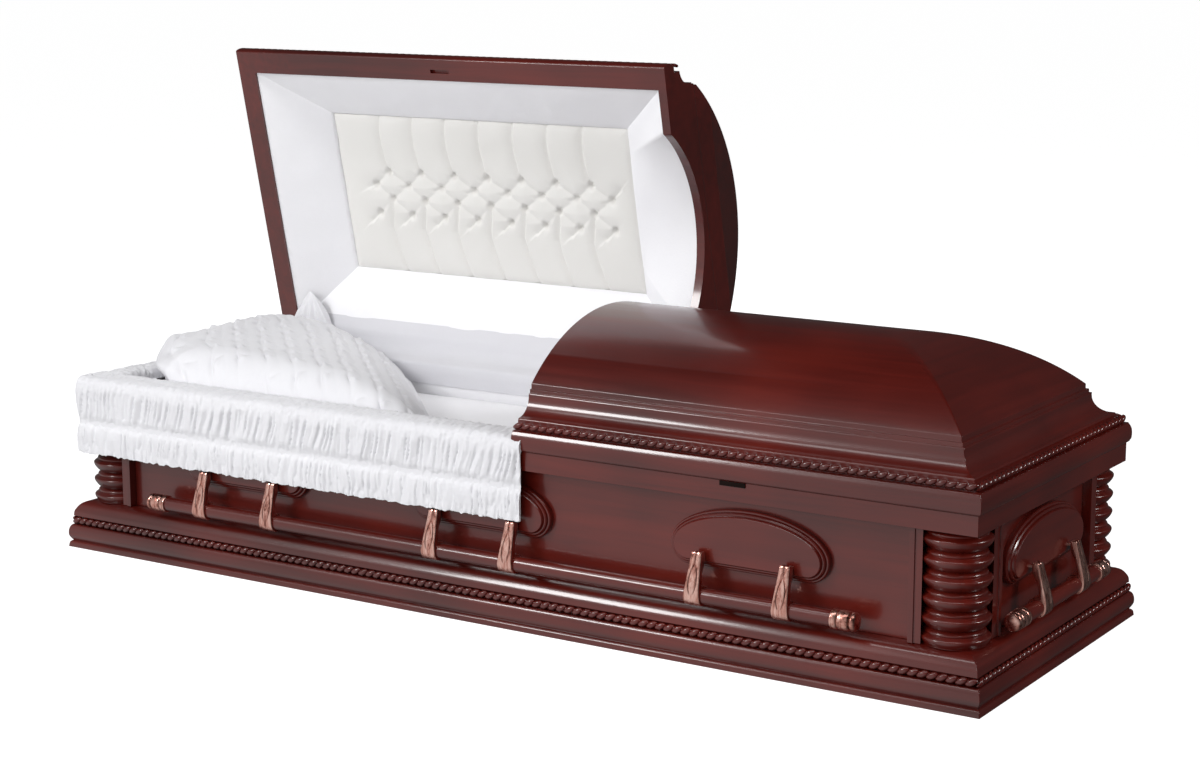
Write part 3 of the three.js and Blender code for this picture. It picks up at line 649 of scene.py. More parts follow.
def makePost(corner, sx, sy):
    outX, outY = reachX - post["inset"], reachY - post["inset"]
    inX, inY = reachX - post["inner"], reachY - post["inner"]
    cx, cy = reachX - column["inset"], reachY - column["inset"]
    stepX, stepY = outX - post["step"], outY - post["step"]
    r = post["cove"]
    first = math.degrees(math.atan2(-math.sqrt(r ** 2 - (stepX - cx) ** 2), stepX - cx))
    last = math.degrees(math.atan2(stepY - cy, -math.sqrt(r ** 2 - (stepY - cy) ** 2))) - 360
    cove = arcPoints((cx, cy), r, first, last, 36)
    sideX, endY, edge, gap = post["sideX"], post["endY"], post["edge"], post["gap"]
    tongueX, behindY = sideX - post["tongue"], endY - post["behind"]
    outline = [
        (sideX, outY), (sideX, inY), (tongueX, inY - gap), (tongueX, inY - post["depth"]),
        (inX - post["back"], behindY), (inX - gap, behindY), (inX, endY), (outX, endY),
        (outX, endY + edge), (stepX, endY + edge), *cove, (sideX + edge, stepY), (sideX + edge, outY),
    ]
    rings = [[(sx * x, sy * y, z) for x, y in outline] for z in standing]
    piece = loft(f"corner post {corner}", rings, woodZ)
    settle(soften(piece, post["ease"]), "root", "polished_wood", f"corner_post_{corner}")


# Walls, rail and floor: the CAD solids with eased edges
def easedCopy(node, material, width=0.8, slot="polished_wood"):
    source = frame["nodes"][node]
    piece = bpy.data.objects.new(pieceName(node), source.data.copy())
    bpy.context.scene.collection.objects.link(piece)
    piece.data.materials.clear()
    piece.data.materials.append(material)
    shell = bmesh.new()
    shell.from_mesh(piece.data)
    bmesh.ops.remove_doubles(shell, verts=shell.verts, dist=2e-5)
    bmesh.ops.dissolve_limit(shell, angle_limit=math.radians(0.5), verts=shell.verts, edges=shell.edges)
    shell.to_mesh(piece.data)
    shell.free()
    settle(soften(piece, width), "root", slot, node)


# Half-oval plates with a three-bead edge, and the lugs that the handle arms swing on
plate = {
    "low": 173, "spring": 40, "rise": 74, "face": 30, "panel": 52, "halfSide": 161, "halfEnd": 172,
    "spacing": 583,
    "edge": [(0, 0), (0, 0.34), (0.5, 0.42), (2.2, 0.5), (4.4, 0.52), (5, 0.5), (5.4, 0.56), (6.2, 0.68),
             (8.2, 0.76), (10.2, 0.76), (10.8, 0.74), (11.2, 0.82), (12, 0.92), (13.6, 0.99), (16, 1)],
    "armSpread": 89, "pivotUp": 70, "pivotBack": 9, "barInset": 10, "barZ": 127.5,
    "lug": (4, 2.7), "pin": (2.5, 8.5),  # half width and half height; radius and half length
}
turns = {"front": 0, "rear": 180, "foot_end": 90, "head_end": -90}


def wallTurn(wall):
    return Matrix.Rotation(math.radians(turns[wall]), 4, "Z")


def grainOf(wall):
    return woodX if wall in ("front", "rear") else woodY


def plateOutline(half, inset):
    low, spring = plate["low"] + inset, plate["low"] + plate["spring"]
    corner = plate["spring"] - inset
    points = [((half - inset) * math.cos(a), spring + (plate["rise"] - inset) * math.sin(a))
              for a in np.linspace(0, math.pi, 61)]
    points += arcPoints((-half + inset + corner, low + corner), corner, 180, 270, 12)[1:]
    points += arcPoints((half - inset - corner, low + corner), corner, 270, 360, 12)[:-1]
    return points


def makePlate(wall, place, shift, half, reach):
    back, face = -(reach - plate["panel"]) - 0.4, -(reach - plate["face"])
    rings = [[(x + shift, back + share * (face - back), z) for x, z in plateOutline(half, inset)]
             for inset, share in plate["edge"]]
    node = f"arch_plate_{wall}_{place}"
    piece = loft(node, rings, grainOf(wall), 28, wallTurn(wall))
    lugs = []
    pivotY = -(reach - plate["barInset"]) + plate["pivotBack"]
    pivotZ = plate["barZ"] + plate["pivotUp"]
    halfWide, halfHigh = plate["lug"]
    pinRadius, pinHalf = plate["pin"]
    for side in (-1, 1):
        x = shift + side * plate["armSpread"]
        lug = plainBox("lug", (x - halfWide, pivotY, pivotZ - halfHigh),
                       (x + halfWide, face + 2, pivotZ + halfHigh), copper)
        bake(soften(lug, 0.6))
        pin = lathePiece("pin", [(pinRadius, x - pinHalf), (pinRadius, x + pinHalf)], copper, 16,
                         (pivotY, pivotZ), "x")
        for thing in (lug, pin):
            thing.data.transform(wallTurn(wall))
            lugs.append(thing)
    settle(join(f"lugs {wall} {place}", *lugs), "root", "antique_copper", node)
    settle(evenShading(piece), "root", "polished_wood", node)


# Swing handles: a wooden bar with copper caps, held by flared copper straps
handle = {
    "barRadius": 14.5, "halfSide": 818, "halfEnd": 216, "capLength": 50, "topWidth": 21, "lowWidth": 34,
    "flare": 0.8, "height": 78, "ring": (18.6, 112, 350, 22), "grooveDepth": 1.3, "grooveReach": 0.1,
    "leaf": {"start": 0.02, "length": 0.72, "swell": 0.8, "reach": 0.52, "least": 0.06},
    "slot": {"half": 4.5, "front": 5.8, "back": 30, "low": 58, "top": 90},
    "cap": [(15.6, 50), (16.9, 49.6), (17.5, 48.6), (17.5, 46.6), (16.7, 46), (16.7, 45.2), (17.5, 44.6),
            (17.5, 38.6), (16.6, 37.6), (15.4, 36.4), (16.6, 35.2), (17.3, 34), (17.5, 32), (17.5, 27.2),
            (16.8, 26.8), (16.8, 26), (17.5, 25.6), (17.5, 17), (17, 15), (15.4, 13.6), (14.2, 12.6),
            (14.6, 11.8), (16.2, 11.2), (16.8, 10), (16.9, 6.4), (16, 3.6), (13.6, 1.8), (9.5, 0.8), (4, 0.2),
            (0.4, 0)],
    "outline": [(18.6, 0), (18.3, 6), (17, 14), (14.4, 24), (11.4, 34), (8.6, 44), (5.6, 54), (3, 63),
                (0.6, 71), (-1, 76.5), (-2.2, 78), (-12.2, 78), (-13, 77), (-13.2, 70), (-12.6, 63),
                (-9.4, 55), (-4.6, 47.5), (-1, 40), (1, 32), (2.4, 25), (4, 19)],
}


def makeBar(wall, half, reach):
    centre = (-(reach - plate["barInset"]), plate["barZ"])
    body, node = f"handle_{wall}", f"handle_bar_{wall}"
    inner = half - handle["capLength"] + 4
    profile = [(handle["barRadius"], -inner), (handle["barRadius"], inner)]
    rod = lathePiece(node, profile, grainOf(wall), 40, centre, "x")
    rod.data.transform(wallTurn(wall))
    settle(rod, body, "polished_wood", node)
    for hand, side in (("a", -1), ("b", 1)):
        profile = [(r, side * (half - d)) for r, d in [(0.4, 49.4)] + handle["cap"]]
        cap = lathePiece(f"handle cap {wall} {hand}", profile, copper, 40, centre, "x", 50)
        cap.data.transform(wallTurn(wall))
        settle(cap, body, "antique_copper", node)


def armOutline():
    radius, start, stop, steps = handle["ring"]
    front, top, back = handle["outline"][:10], handle["outline"][10:12], handle["outline"][12:]
    ring = arcPoints((0, 0), radius, start, stop, steps)[1:]
    return np.array(smoothRun(front, 2) + top + smoothRun(back, 2) + ring)


def outwardOf(outline):
    tangent = np.roll(outline, -1, 0) - np.roll(outline, 1, 0)
    outward = np.stack([tangent[:, 1], -tangent[:, 0]], 1)
    outward /= np.linalg.norm(outward, axis=1)[:, None]
    return outward * np.sign((outward * (outline - outline.mean(0))).sum())


def makeArm(wall, place, hand, x, reach):
    outline = armOutline()
    outward = outwardOf(outline)
    share = np.clip(outline[:, 1] / handle["height"], 0, 1)
    half = (handle["lowWidth"] + (handle["topWidth"] - handle["lowWidth"]) * share ** handle["flare"]) / 2
    # two grooves part and meet again down the strap, like a long pointed leaf
    shape = handle["leaf"]
    swell = np.sin(math.pi * np.clip((share - shape["start"]) / shape["length"], 0, 1)) ** shape["swell"]
    leaf = swell * shape["reach"] + shape["least"]
    groove = handle["grooveDepth"] * np.clip(share * 9, 0, 1)
    onFace = (outward[:, 0] > 0) * 1.0
    # across the strap: the edge as (place, lift), then a groove as distances from its middle
    edge = [(-1, -1.6), (-0.97, -0.6), (-0.9, 0)]
    beside = [-0.19, -0.09, 0, 0.09, 0.19]
    lines = [(np.full(len(outline), t), lift) for t, lift in edge]
    lines += [(grooveLine(leaf, -1, away), -groove * onFace * grooveShare(away)) for away in beside]
    lines += [(np.zeros(len(outline)), -0.25)]
    lines += [(grooveLine(leaf, 1, -away), -groove * onFace * grooveShare(away)) for away in beside[::-1]]
    lines += [(np.full(len(outline), -t), lift) for t, lift in edge[::-1]]
    y0, z0 = -(reach - plate["barInset"]), plate["barZ"]
    rings = []
    for at, lift in lines:
        line = outline + outward * (lift * np.ones(len(outline)))[:, None]
        rings.append(np.column_stack([x + at * half, y0 - line[:, 0], z0 + line[:, 1]]))
    node = f"handle_arm_{wall}_{place}_{hand}"
    piece = loft(node, rings, strapCopper, 42)
    slot = handle["slot"]
    carve(piece, plainBox("slot", (x - slot["half"], y0 + slot["front"], z0 + slot["low"]),
                          (x + slot["half"], y0 + slot["back"], z0 + slot["top"]), copper))
    piece.data.transform(wallTurn(wall))
    settle(piece, f"handle_{wall}", "antique_copper", node)


def grooveLine(leaf, side, away):
    return np.clip(side * leaf + away * np.clip(leaf / 0.22, 0, 1), -0.86, 0.86)


def grooveShare(away):
    return max(1 - abs(away) / handle["grooveReach"], 0)


def makeWalls():
    walls = {
        "front": (reachY, handle["halfSide"], plate["halfSide"], {"head": -1, "middle": 0, "foot": 1}),
        "rear": (reachY, handle["halfSide"], plate["halfSide"], {"foot": -1, "middle": 0, "head": 1}),
        "foot_end": (reachX, handle["halfEnd"], plate["halfEnd"], {"centre": 0}),
        "head_end": (reachX, handle["halfEnd"], plate["halfEnd"], {"centre": 0}),
    }
    for wall, (reach, barHalf, half, places) in walls.items():
        makeBar(wall, barHalf, reach)
        for place, step in places.items():
            makePlate(wall, place, step * plate["spacing"], half, reach)
            for hand, side in (("a", -1), ("b", 1)):
                makeArm(wall, place, hand, step * plate["spacing"] + side * plate["armSpread"], reach)


# Lids: a rolled rim, the rope ledge, a deep cove, two fine steps and the hipped dome
lid = {
    "roll": [(19, casket["lidLowZ"]), (15.8, 345), (14.2, 352), (14, 362), (15.5, 371), (20, 380)],
    "ledge": [(38, 380.4), (38, 396.8)],
    "cove": (37, 437, 37),
    "steps": [(74, 441), (77, 441.3), (78, 442.3), (78, 447.6), (79, 448.5), (82, 448.8), (83, 449.8),
              (83, 457.5), (84, 459)],
    "wall": 19, "inside": [(64, casket["lidLowZ"] - 5), (64, 384), (84, 412), (92, 436), (100, 450)],
    "hipEase": (1.6, 26),  # least and growth of the dome's rounded hips
    "archHalf": 210, "archRise": 88, "archPast": 5, "archBelow": 8, "splitGap": 1.2,
    "mortise": (24, -325, -317, 9),  # half length, front, back, depth
    "seat": 4,  # radius of the groove over the hinge pin
}


def bowRadius(half, rise):
    return (half ** 2 + rise ** 2) / (2 * rise)


def domeLine(foot, top, steps):
    half = reachY - foot[0]
    radius = bowRadius(half, top - foot[1])
    start = math.asin(half / radius)
    angles = [start * (1 - i / steps) for i in range(1, steps + 1)]
    return [(reachY - max(radius * math.sin(a), 0.8), top - radius * (1 - math.cos(a))) for a in angles]


def archTool(split, end):
    half, rise, past = lid["archHalf"], lid["archRise"], lid["archPast"]
    radius = bowRadius(half, rise)
    spread = math.degrees(math.asin(half / radius))
    low = casket["lidLowZ"]
    bow = arcPoints((0, low + rise - radius), radius, 90 - spread, 90 + spread, 40)
    bow += [(-half, low - lid["archBelow"]), (half, low - lid["archBelow"])]
    places = (split - past * end, split + (lid["wall"] + past) * end)
    return loft("arch", [[(x, y, z) for y, z in bow] for x in places], woodX)


def mortiseTool(catch):
    (lowX, _, _), (highX, _, _) = nodeBox(catch)
    middle = (lowX + highX) / 2
    half, front, back, deep = lid["mortise"]
    low = casket["lidLowZ"]
    box = plainBox("mortise", (middle - half, front, low - 5), (middle + half, back, low + deep), woodX)
    return soften(box, 0.8)


def lidShell(name, split, end, turn, catch):
    coveInset, coveZ, coveRadius = lid["cove"]
    profile = smoothRun(lid["roll"], 4) + lid["ledge"]
    profile += arcPoints((coveInset, coveZ), coveRadius, -86, 0, 16) + lid["steps"]
    eases = [1.2] * len(profile)
    dome = domeLine(lid["steps"][-1], casket["domeTopZ"], 40)
    least, growth = lid["hipEase"]
    eases += [least + growth * ((i + 1) / len(dome)) ** 1.6 for i in range(len(dome))]
    rings = [levelRing(inset, z, ease, split, end, 4) for (inset, z), ease in zip(profile + dome, eases)]
    shell = loft(name, rings, woodFrame)
    inside = lid["inside"] + domeLine(lid["inside"][-1], casket["domeTopZ"] - lid["wall"], 10)
    hollow = moulding("hollow", inside, woodX, split=split + end * lid["wall"], end=end)
    pin = (casket["hingeY"], casket["hingeZ"])
    seat = lathePiece("seat", [(lid["seat"], -reachX), (lid["seat"], reachX)], woodX, 16, pin, "x")
    carve(shell, hollow, archTool(split, end), seat, mortiseTool(catch))
    shell.data.transform(turn)
    return evenShading(shell)


def makeLids():
    still = Matrix.Identity(4)
    footSplit, headSplit = casket["splitX"], casket["splitX"] - lid["splitGap"]
    for half, split, end, turn in (("foot", footSplit, 1, still), ("head", headSplit, -1, openTurn)):
        shell = lidShell(f"{half} lid", split, end, turn, f"{half}_catch")
        settle(shell, f"{half}_lid", "polished_wood", f"{half}_lid")
    tree = ropeTree("rope twist")
    ropePiece("foot lid rope", rope["lid"], tree, "foot_lid", "foot_lid_rope", lowX=footSplit)
    ropePiece("head lid rope", rope["lid"], tree, "head_lid", "head_lid_rope", highX=headSplit, turn=openTurn)
    ropePiece("base rope", rope["base"], tree, "root", "base_rope")


# Padded cloth border of a lid, sloping from the rim up to the opening of the panel. On the side of
# the split it starts at the bow that is cut out of the board.
border = {
    "innerInset": 64.4, "rimZ": 345.4, "panelZ": 437, "halfX": 393, "halfY": 185, "puff": 9, "back": 8.5,
    "lap": 4, "least": 90, "cornerSwell": 34, "ripple": 1.3, "rippleSize": 46, "bowFlat": 0.75,
    "steps": (130, 24),
}


def bowRise(y):
    radius = bowRadius(lid["archHalf"], lid["archRise"])
    return max(lid["archRise"] - radius + math.sqrt(max(radius ** 2 - y ** 2, 0)), 0)


def lidBorder(name, split, end, turn, body, node):
    far = end * (reachX - border["innerInset"])
    near = split + end * (lid["wall"] + 0.6)
    middle = (casket["splitX"] + end * (reachX - 19)) / 2
    halfX = min(border["halfX"], abs(far - near) / 2 - border["least"])
    halfY, y = border["halfY"], reachY - border["innerInset"]
    outer = [(near, -y), (far, -y), (far, y), (near, y)]
    panelNear, panelFar = middle - end * halfX, middle + end * halfX
    inner = [(panelNear, -halfY), (panelFar, -halfY), (panelFar, halfY), (panelNear, halfY)]
    alongSteps, acrossSteps = border["steps"]
    rings = []
    for side in range(4):
        a, b = np.array(outer[side]), np.array(outer[(side + 1) % 4])
        c, d = np.array(inner[side]), np.array(inner[(side + 1) % 4])
        for i in range(alongSteps):
            s = 0.5 - 0.5 * math.cos(math.pi * i / alongSteps)
            rim, panel = a + (b - a) * s, c + (d - c) * s
            rise = bowRise(rim[1]) if side == 3 else 0
            rimZ = border["rimZ"] + rise + (1 if rise else 0)
            swell = 1 - math.exp(-np.linalg.norm(b - a) * min(s, 1 - s) / border["cornerSwell"])
            fullness = border["puff"] * (1 - border["bowFlat"] * rise / lid["archRise"])
            t = np.linspace(0, 1, acrossSteps + 1)
            x, across = (rim * (1 - t[:, None]) + panel * t[:, None]).T
            z = rimZ + (border["panelZ"] - rimZ) * t
            puff = fullness * np.clip(np.sin(math.pi * np.minimum(t * 1.02, 1)), 0, 1) ** 0.6
            puff = puff * (0.25 + 0.75 * swell)
            ripple = border["ripple"] * clothNoise(x / border["rippleSize"], across / border["rippleSize"], 5)
            front = z - puff * 0.6 - ripple * swell * np.sin(math.pi * t) + fullness * 0.28
            back = np.column_stack([x, across, z + border["back"]])
            rings.append(np.vstack([np.column_stack([x, across, front]), back[::-1]]))
    piece = loft(name, rings, crepePaintedLighter, 60, turn, endless=True)
    settle(piece, body, "white_crepe", node)
    return middle, halfX


# The opening of a border as a grid, a little larger so that it tucks under
def panelGrid(middle, halfX, columns, rows):
    lapX, lapY = halfX + border["lap"], border["halfY"] + border["lap"]
    x, y = np.meshgrid(np.linspace(middle - lapX, middle + lapX, columns), np.linspace(-lapY, lapY, rows))
    return x, y, lapX, lapY


# Tufted panel: four rows of buttons in diamonds, with folded pleats that bow above and below them
tuft = {
    "pitch": 90.4, "firstX": -458, "rows": (-52.5, -21.5, 10.5, 46.5), "lowShift": 4, "puff": 17,
    "back": 463.5, "base": 454, "cell": 2.05, "foldSide": 14, "sharpSide": 2.6, "softSide": 15, "dimple": 7,
    "dimpleDepth": 0.74, "edge": (0.6, 9), "ripple": (0.035, 31), "buttonSink": 0.6, "pleatDepth": 0.62,
    "button": [(0.3, 0), (2.2, 0.3), (3.1, 1), (3.4, 2), (3.1, 3), (0.3, 3.4)],
    # each pleat's points from its button, as the step along and the step down, or the height where it ends
    "upPleat": [(0, 0), (-7.2, -28), (-12, -62), (-12, -95)], "upEnd": (-4, -200),
    "downPleat": [(0, 0), (-4, 30), (-12, 70), (-4.8, 110)], "downEnd": (16, 200),
}


def pleat(x, y, steps, ending):
    points = [(x + dx, y + dy) for dx, dy in steps] + [(x + ending[0], ending[1])]
    return [(a, b, tuft["pleatDepth"]) for a, b in zip(points, points[1:])]


def creaseLines():
    a, b, c, d = tuft["rows"]
    upper = [tuft["firstX"] + tuft["pitch"] * k for k in range(-3, 4)]
    lower = [tuft["firstX"] + tuft["pitch"] * (k + 0.5) + tuft["lowShift"] for k in range(-4, 4)]
    folds, soft = [], []
    for k, x in enumerate(upper):
        folds += pleat(x, a, tuft["upPleat"], tuft["upEnd"]) + pleat(x, c, tuft["downPleat"], tuft["downEnd"])
        for other in (lower[k], lower[k + 1]):
            soft += [((x, a), (other, b), 0.42), ((x, c), (other, b), 0.36), ((x, c), (other, d), 0.3)]
        folds.append(((x, a), (x - 15, a + 9), 0.5))
    for x in lower:
        folds.append(((x, d), (x - 24, d + 20), 0.5))
        folds.append(((x, b), (x - 18, b + 9), 0.45))
    folds.append(((lower[-1], b), (lower[-1] + 26, b - 26), 0.45))
    return folds, soft, [(x, y) for x in upper for y in (a, c)] + [(x, y) for x in lower for y in (b, d)]


def segmentDistance(x, y, start, stop):
    (ax, ay), (bx, by) = start, stop
    dx, dy = bx - ax, by - ay
    t = np.clip(((x - ax) * dx + (y - ay) * dy) / (dx * dx + dy * dy), 0, 1)
    return np.hypot(x - ax - t * dx, y - ay - t * dy)


def makeTufted(middle, halfX):
    columns, rows = int(2 * halfX / tuft["cell"]), int(2 * border["halfY"] / tuft["cell"])
    x, y, lapX, lapY = panelGrid(middle, halfX, columns, rows)
    folds, soft, buttons = creaseLines()
    height = np.ones_like(x)
    for start, stop, depth in soft:
        near = np.exp(-segmentDistance(x, y, start, stop) / tuft["softSide"])
        height = np.minimum(height, 1 - depth * near)
    for start, stop, depth in folds:
        # the cloth sinks slowly into a fold from the head side and turns up sharply on the other
        dx, dy = stop[0] - start[0], stop[1] - start[1]
        side = (dx * (y - start[1]) - dy * (x - start[0])) * np.sign(dy)
        spread = np.where(side > 0, tuft["foldSide"], tuft["sharpSide"])
        height = np.minimum(height, 1 - depth * np.exp(-segmentDistance(x, y, start, stop) / spread))
    edge = np.minimum(lapX - np.abs(x - middle), lapY - np.abs(y))
    edgeDepth, edgeReach = tuft["edge"]
    height *= 1 - edgeDepth * np.exp(-edge / edgeReach)
    ripple, size = tuft["ripple"]
    height += ripple * clothNoise(x / size, y / size, 11)
    for bx, by in buttons:
        height -= tuft["dimpleDepth"] * np.exp(-((x - bx) ** 2 + (y - by) ** 2) / tuft["dimple"] ** 2)
    z = tuft["base"] - tuft["puff"] * height
    piece = paddedGrid("tufted panel", x, y, z, tuft["back"], velvet, openTurn)
    settle(piece, "head_lid", "white_velvet", "tufted_panel")
    makeButtons(buttons)


# The way round the outside of a grid, by the number of each point
def rimOf(rows, columns):
    return ([i for i in range(columns)] + [r * columns + columns - 1 for r in range(1, rows)]
            + [(rows - 1) * columns + i for i in range(columns - 2, -1, -1)]
            + [r * columns for r in range(rows - 2, 0, -1)])


# A grid of front points closed by a wall round its rim and a flat back
def paddedGrid(name, x, y, z, backZ, material, turn=None, shrink=1):
    front = np.stack([x, y, z], -1).reshape(-1, 3)
    rim = rimOf(*x.shape)
    back = front[rim] * [shrink, shrink, 1]
    back[:, 2] = backZ
    backRim = [len(front) + i for i in range(len(rim))]
    faces = gridFaces(*x.shape)
    for i in range(len(rim)):
        j = (i + 1) % len(rim)
        faces.append([rim[j], rim[i], backRim[i], backRim[j]])
    faces.append(backRim)
    return makePiece(name, np.vstack([front, back]), faces, material, 70, turn)


def makeButtons(buttons):
    low = tuft["base"] - tuft["buttonSink"]
    profile = [(r, low + h) for r, h in tuft["button"]]
    piece = join("tufting buttons", *(lathePiece("button", profile, velvet, 16, place) for place in buttons))
    piece.data.transform(openTurn)
    settle(piece, "head_lid", "white_velvet")


# Foot lid lining: the same border round a plain padded panel
footPanel = {"z": 442.3, "crown": 5.5, "ripple": 0.5, "rippleSize": 40, "back": 446, "steps": (90, 50)}


def makeFootPanel(middle, halfX):
    x, y, lapX, lapY = panelGrid(middle, halfX, *footPanel["steps"])
    swell = np.sqrt(np.clip((1 - ((x - middle) / lapX) ** 2) * (1 - (y / lapY) ** 2), 0, 1))
    ripple = clothNoise(x / footPanel["rippleSize"], y / footPanel["rippleSize"], 8)
    z = footPanel["z"] - footPanel["crown"] * swell - footPanel["ripple"] * ripple
    piece = paddedGrid("foot lid panel", x, y, z, footPanel["back"], crepe)
    settle(piece, "foot_lid", "white_crepe", "foot_lid_lining")


# Bed: a crowned mattress, and the cloth on the walls round it
bed = {
    "top": 286, "corner": 130, "inset": 86, "low": 18.4, "edge": 34, "ripple": 1.1,
    "shoulder": [(1, 9), (4, 17), (9, 23), (17, 27), (28, 29.5), (42, 31.5), (60, 33), (90, 34),
                 (130, 34.6), (170, 35), (210, 35.2), (250, 35.4)],
}


def cutCornerOutline(inset, corner, step=16):
    a, b, c = reachX - inset, reachY - inset, corner
    corners = np.array([(-a, -b + c), (-a + c, -b), (a - c, -b), (a, -b + c),
                        (a, b - c), (a - c, b), (-a + c, b), (-a, b - c)])
    line = []
    for start, stop in zip(corners, np.roll(corners, -1, 0)):
        count = max(2, int(math.dist(start, stop) / step))
        line += [start + (stop - start) * k / count for k in range(count)]
    line = np.array(line)
    for _ in range(2):
        line = 0.5 * line + 0.25 * (np.roll(line, 1, 0) + np.roll(line, -1, 0))
    return line


def makeBed():
    outline = cutCornerOutline(bed["inset"], bed["corner"])
    low, shoulder = bed["low"], bed["top"] - bed["edge"]
    levels = [(4, low), (1, low + 3), (0, low + 12), (0, shoulder)]
    levels += [(r, shoulder + z) for r, z in bed["shoulder"]]
    rings = []
    for inset, z in levels:
        ring = outline * (1 - inset / np.array([reachX - bed["inset"], reachY - bed["inset"]]))
        ripple = bed["ripple"] * clothNoise(ring[:, 0] / 90, ring[:, 1] / 70, 3) if z > bed["top"] - 12 else 0
        rings.append(np.column_stack([ring, np.full(len(ring), z) + ripple - (0.4 if inset > 100 else 0)]))
    piece = loft("crowned mattress", rings, crepePaintedLighter, 60)
    settle(piece, "root", "white_crepe", "bed")


# The wall cloth, a thin closed shell from the shelf to the rail top: inset, corner and height
liningLevels = [(72.6, 140, 99.6), (72.6, 140, 340), (74, 139.6, 340.6), (76.6, 139, 340.6),
                (77.8, 138.6, 339.4), (78, 138.5, 300), (78, 138.5, 99.6)]


def makeBodyLining():
    rings = []
    for inset, corner, z in liningLevels:
        ring = cutCornerOutline(inset, corner, 20)
        rings.append(np.column_stack([ring, np.full(len(ring), z)]))
    count = min(len(r) for r in rings)
    rings = [r[np.linspace(0, len(r) - 1, count).round().astype(int)] for r in rings]
    piece = loft("body lining", rings, crepePaintedLighter, 50, endless=True)
    settle(piece, "root", "white_crepe", "body_lining")


# Cloth that runs from the lid's border over the hinge and down into the body
apron = {
    "x": (-949, 62), "width": 1.011, "thick": 1.2, "columns": 220, "wave": 0.25, "waveLength": 35,
    "line": [(350.6, 418), (343.5, 405), (336, 394), (332.4, 385), (329.5, 374), (323, 361), (313, 352),
             (300, 347), (288.4, 341.6), (285.2, 330), (284.9, 312), (284.8, 296)],
}


def makeApron():
    line = np.array(smoothRun(apron["line"], 5))
    slope = np.gradient(line, axis=0)
    slope /= np.linalg.norm(slope, axis=1)[:, None]
    under = line + np.stack([-slope[:, 1], slope[:, 0]], 1) * apron["thick"]
    section = line.tolist() + under[::-1].tolist()
    rings = []
    for x in np.linspace(*apron["x"], apron["columns"]):
        wave = apron["wave"] * float(clothNoise(x / apron["waveLength"], 0, 21))
        rings.append([(x, y + wave * (0.3 if z < 350 else 1), z) for y, z in section])
    piece = loft("hinge apron", rings, crepePaintedDarker, 60)
    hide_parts("hinge_apron")
    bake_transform(piece)
    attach(piece, "root")


# The apron's head end stands up in a folded corner in front of the lid's border
peak = {
    "tip": (-938, 322, 470), "foot": [(-1003, 336, 392), (-992, 312, 385), (-962, 296, 372), (-930, 290, 366),
                                     (-900, 296, 372), (-882, 312, 392), (-880, 326, 398)],
    "sag": 10, "thick": 1.4, "steps": (60, 26),
}


def makePeak():
    rows, columns = peak["steps"]
    foot = np.array(smoothRun(peak["foot"], 10))
    foot = foot[np.linspace(0, len(foot) - 1, rows).round().astype(int)]
    tip = np.array(peak["tip"], float)
    grid = []
    for i, start in enumerate(foot):
        fold = 3.2 * math.sin(i * 0.62) + 2 * math.sin(i * 0.27 + 1)
        for t in np.linspace(0, 1, columns):
            reach = (1 - t) ** 0.8
            point = tip + (start - tip) * [reach, reach, 1 - t]
            lift = peak["sag"] * t * (1 - t) - fold * math.sin(math.pi * min(t * 1.15, 1))
            grid.append(point + [0, lift, 0])
    front = np.array(grid)
    behind = front + [0, peak["thick"], 0]
    count = len(front)
    faces = gridFaces(rows, columns)
    faces += [[count + i for i in face[::-1]] for face in faces]
    rim = rimOf(rows, columns)
    faces += [[b, a, count + a, count + b] for a, b in zip(rim, rim[1:] + rim[:1])]
    piece = makePiece("apron corner", np.vstack([front, behind]), faces, crepe, 60)
    settle(piece, "root", "white_crepe", "hinge_apron")
    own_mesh(piece)


# Pillow: high against the head wall, quilted in columns parallel to its foot-side edge, which
# crosses the body on the slant
pillow = {
    "slant": ((-620, 277), (-105, -277)), "low": 288, "edge": 303, "rise": 133, "swell": 102,
    "rearRise": 12, "lip": 14, "firstColumn": 13, "columnPitch": 53.5, "tuckPitch": 74, "depth": 7.5,
    "seam": 5.5, "pucker": 4.5, "crown": 2.5, "ripple": (1.6, 62), "round": 34, "frontRound": 92,
    "halfY": 277, "headX": -961, "cornerCut": 129, "overhang": 44,
    "footSide": [(-277, -146), (-262, -112), (0, -363), (262, -605), (277, -640)],  # y and x along the slant
    "steps": (240, 210),
}


def smoothStep(value, low, high):
    t = np.clip((value - low) / (high - low), 0, 1)
    return t * t * (3 - 2 * t)


def pillowPlan():
    halfY, headX, cut = pillow["halfY"], pillow["headX"], pillow["cornerCut"]
    rows, columns = pillow["steps"]
    ease = lambda count: -np.cos(np.linspace(0, math.pi, count)) * 0.35 + np.linspace(-1, 1, count) * 0.65
    y = (ease(rows) * halfY)[:, None] * np.ones((1, columns))
    left = headX + np.clip(np.abs(y) - (halfY - cut), 0, None)
    right = np.interp(y, *zip(*pillow["footSide"]))
    x = left + (right - left) * (ease(columns)[None, :] + 1) / 2
    corners = [(headX, cut - halfY), (headX + cut, -halfY)] + [(px, py) for py, px in pillow["footSide"]]
    corners += [(headX + cut, halfY), (headX, halfY - cut)]
    edge = np.full_like(x, 1e3)
    for start, stop in zip(corners, corners[1:] + corners[:1]):
        edge = np.minimum(edge, segmentDistance(x, y, start, stop))
    return x, y, edge


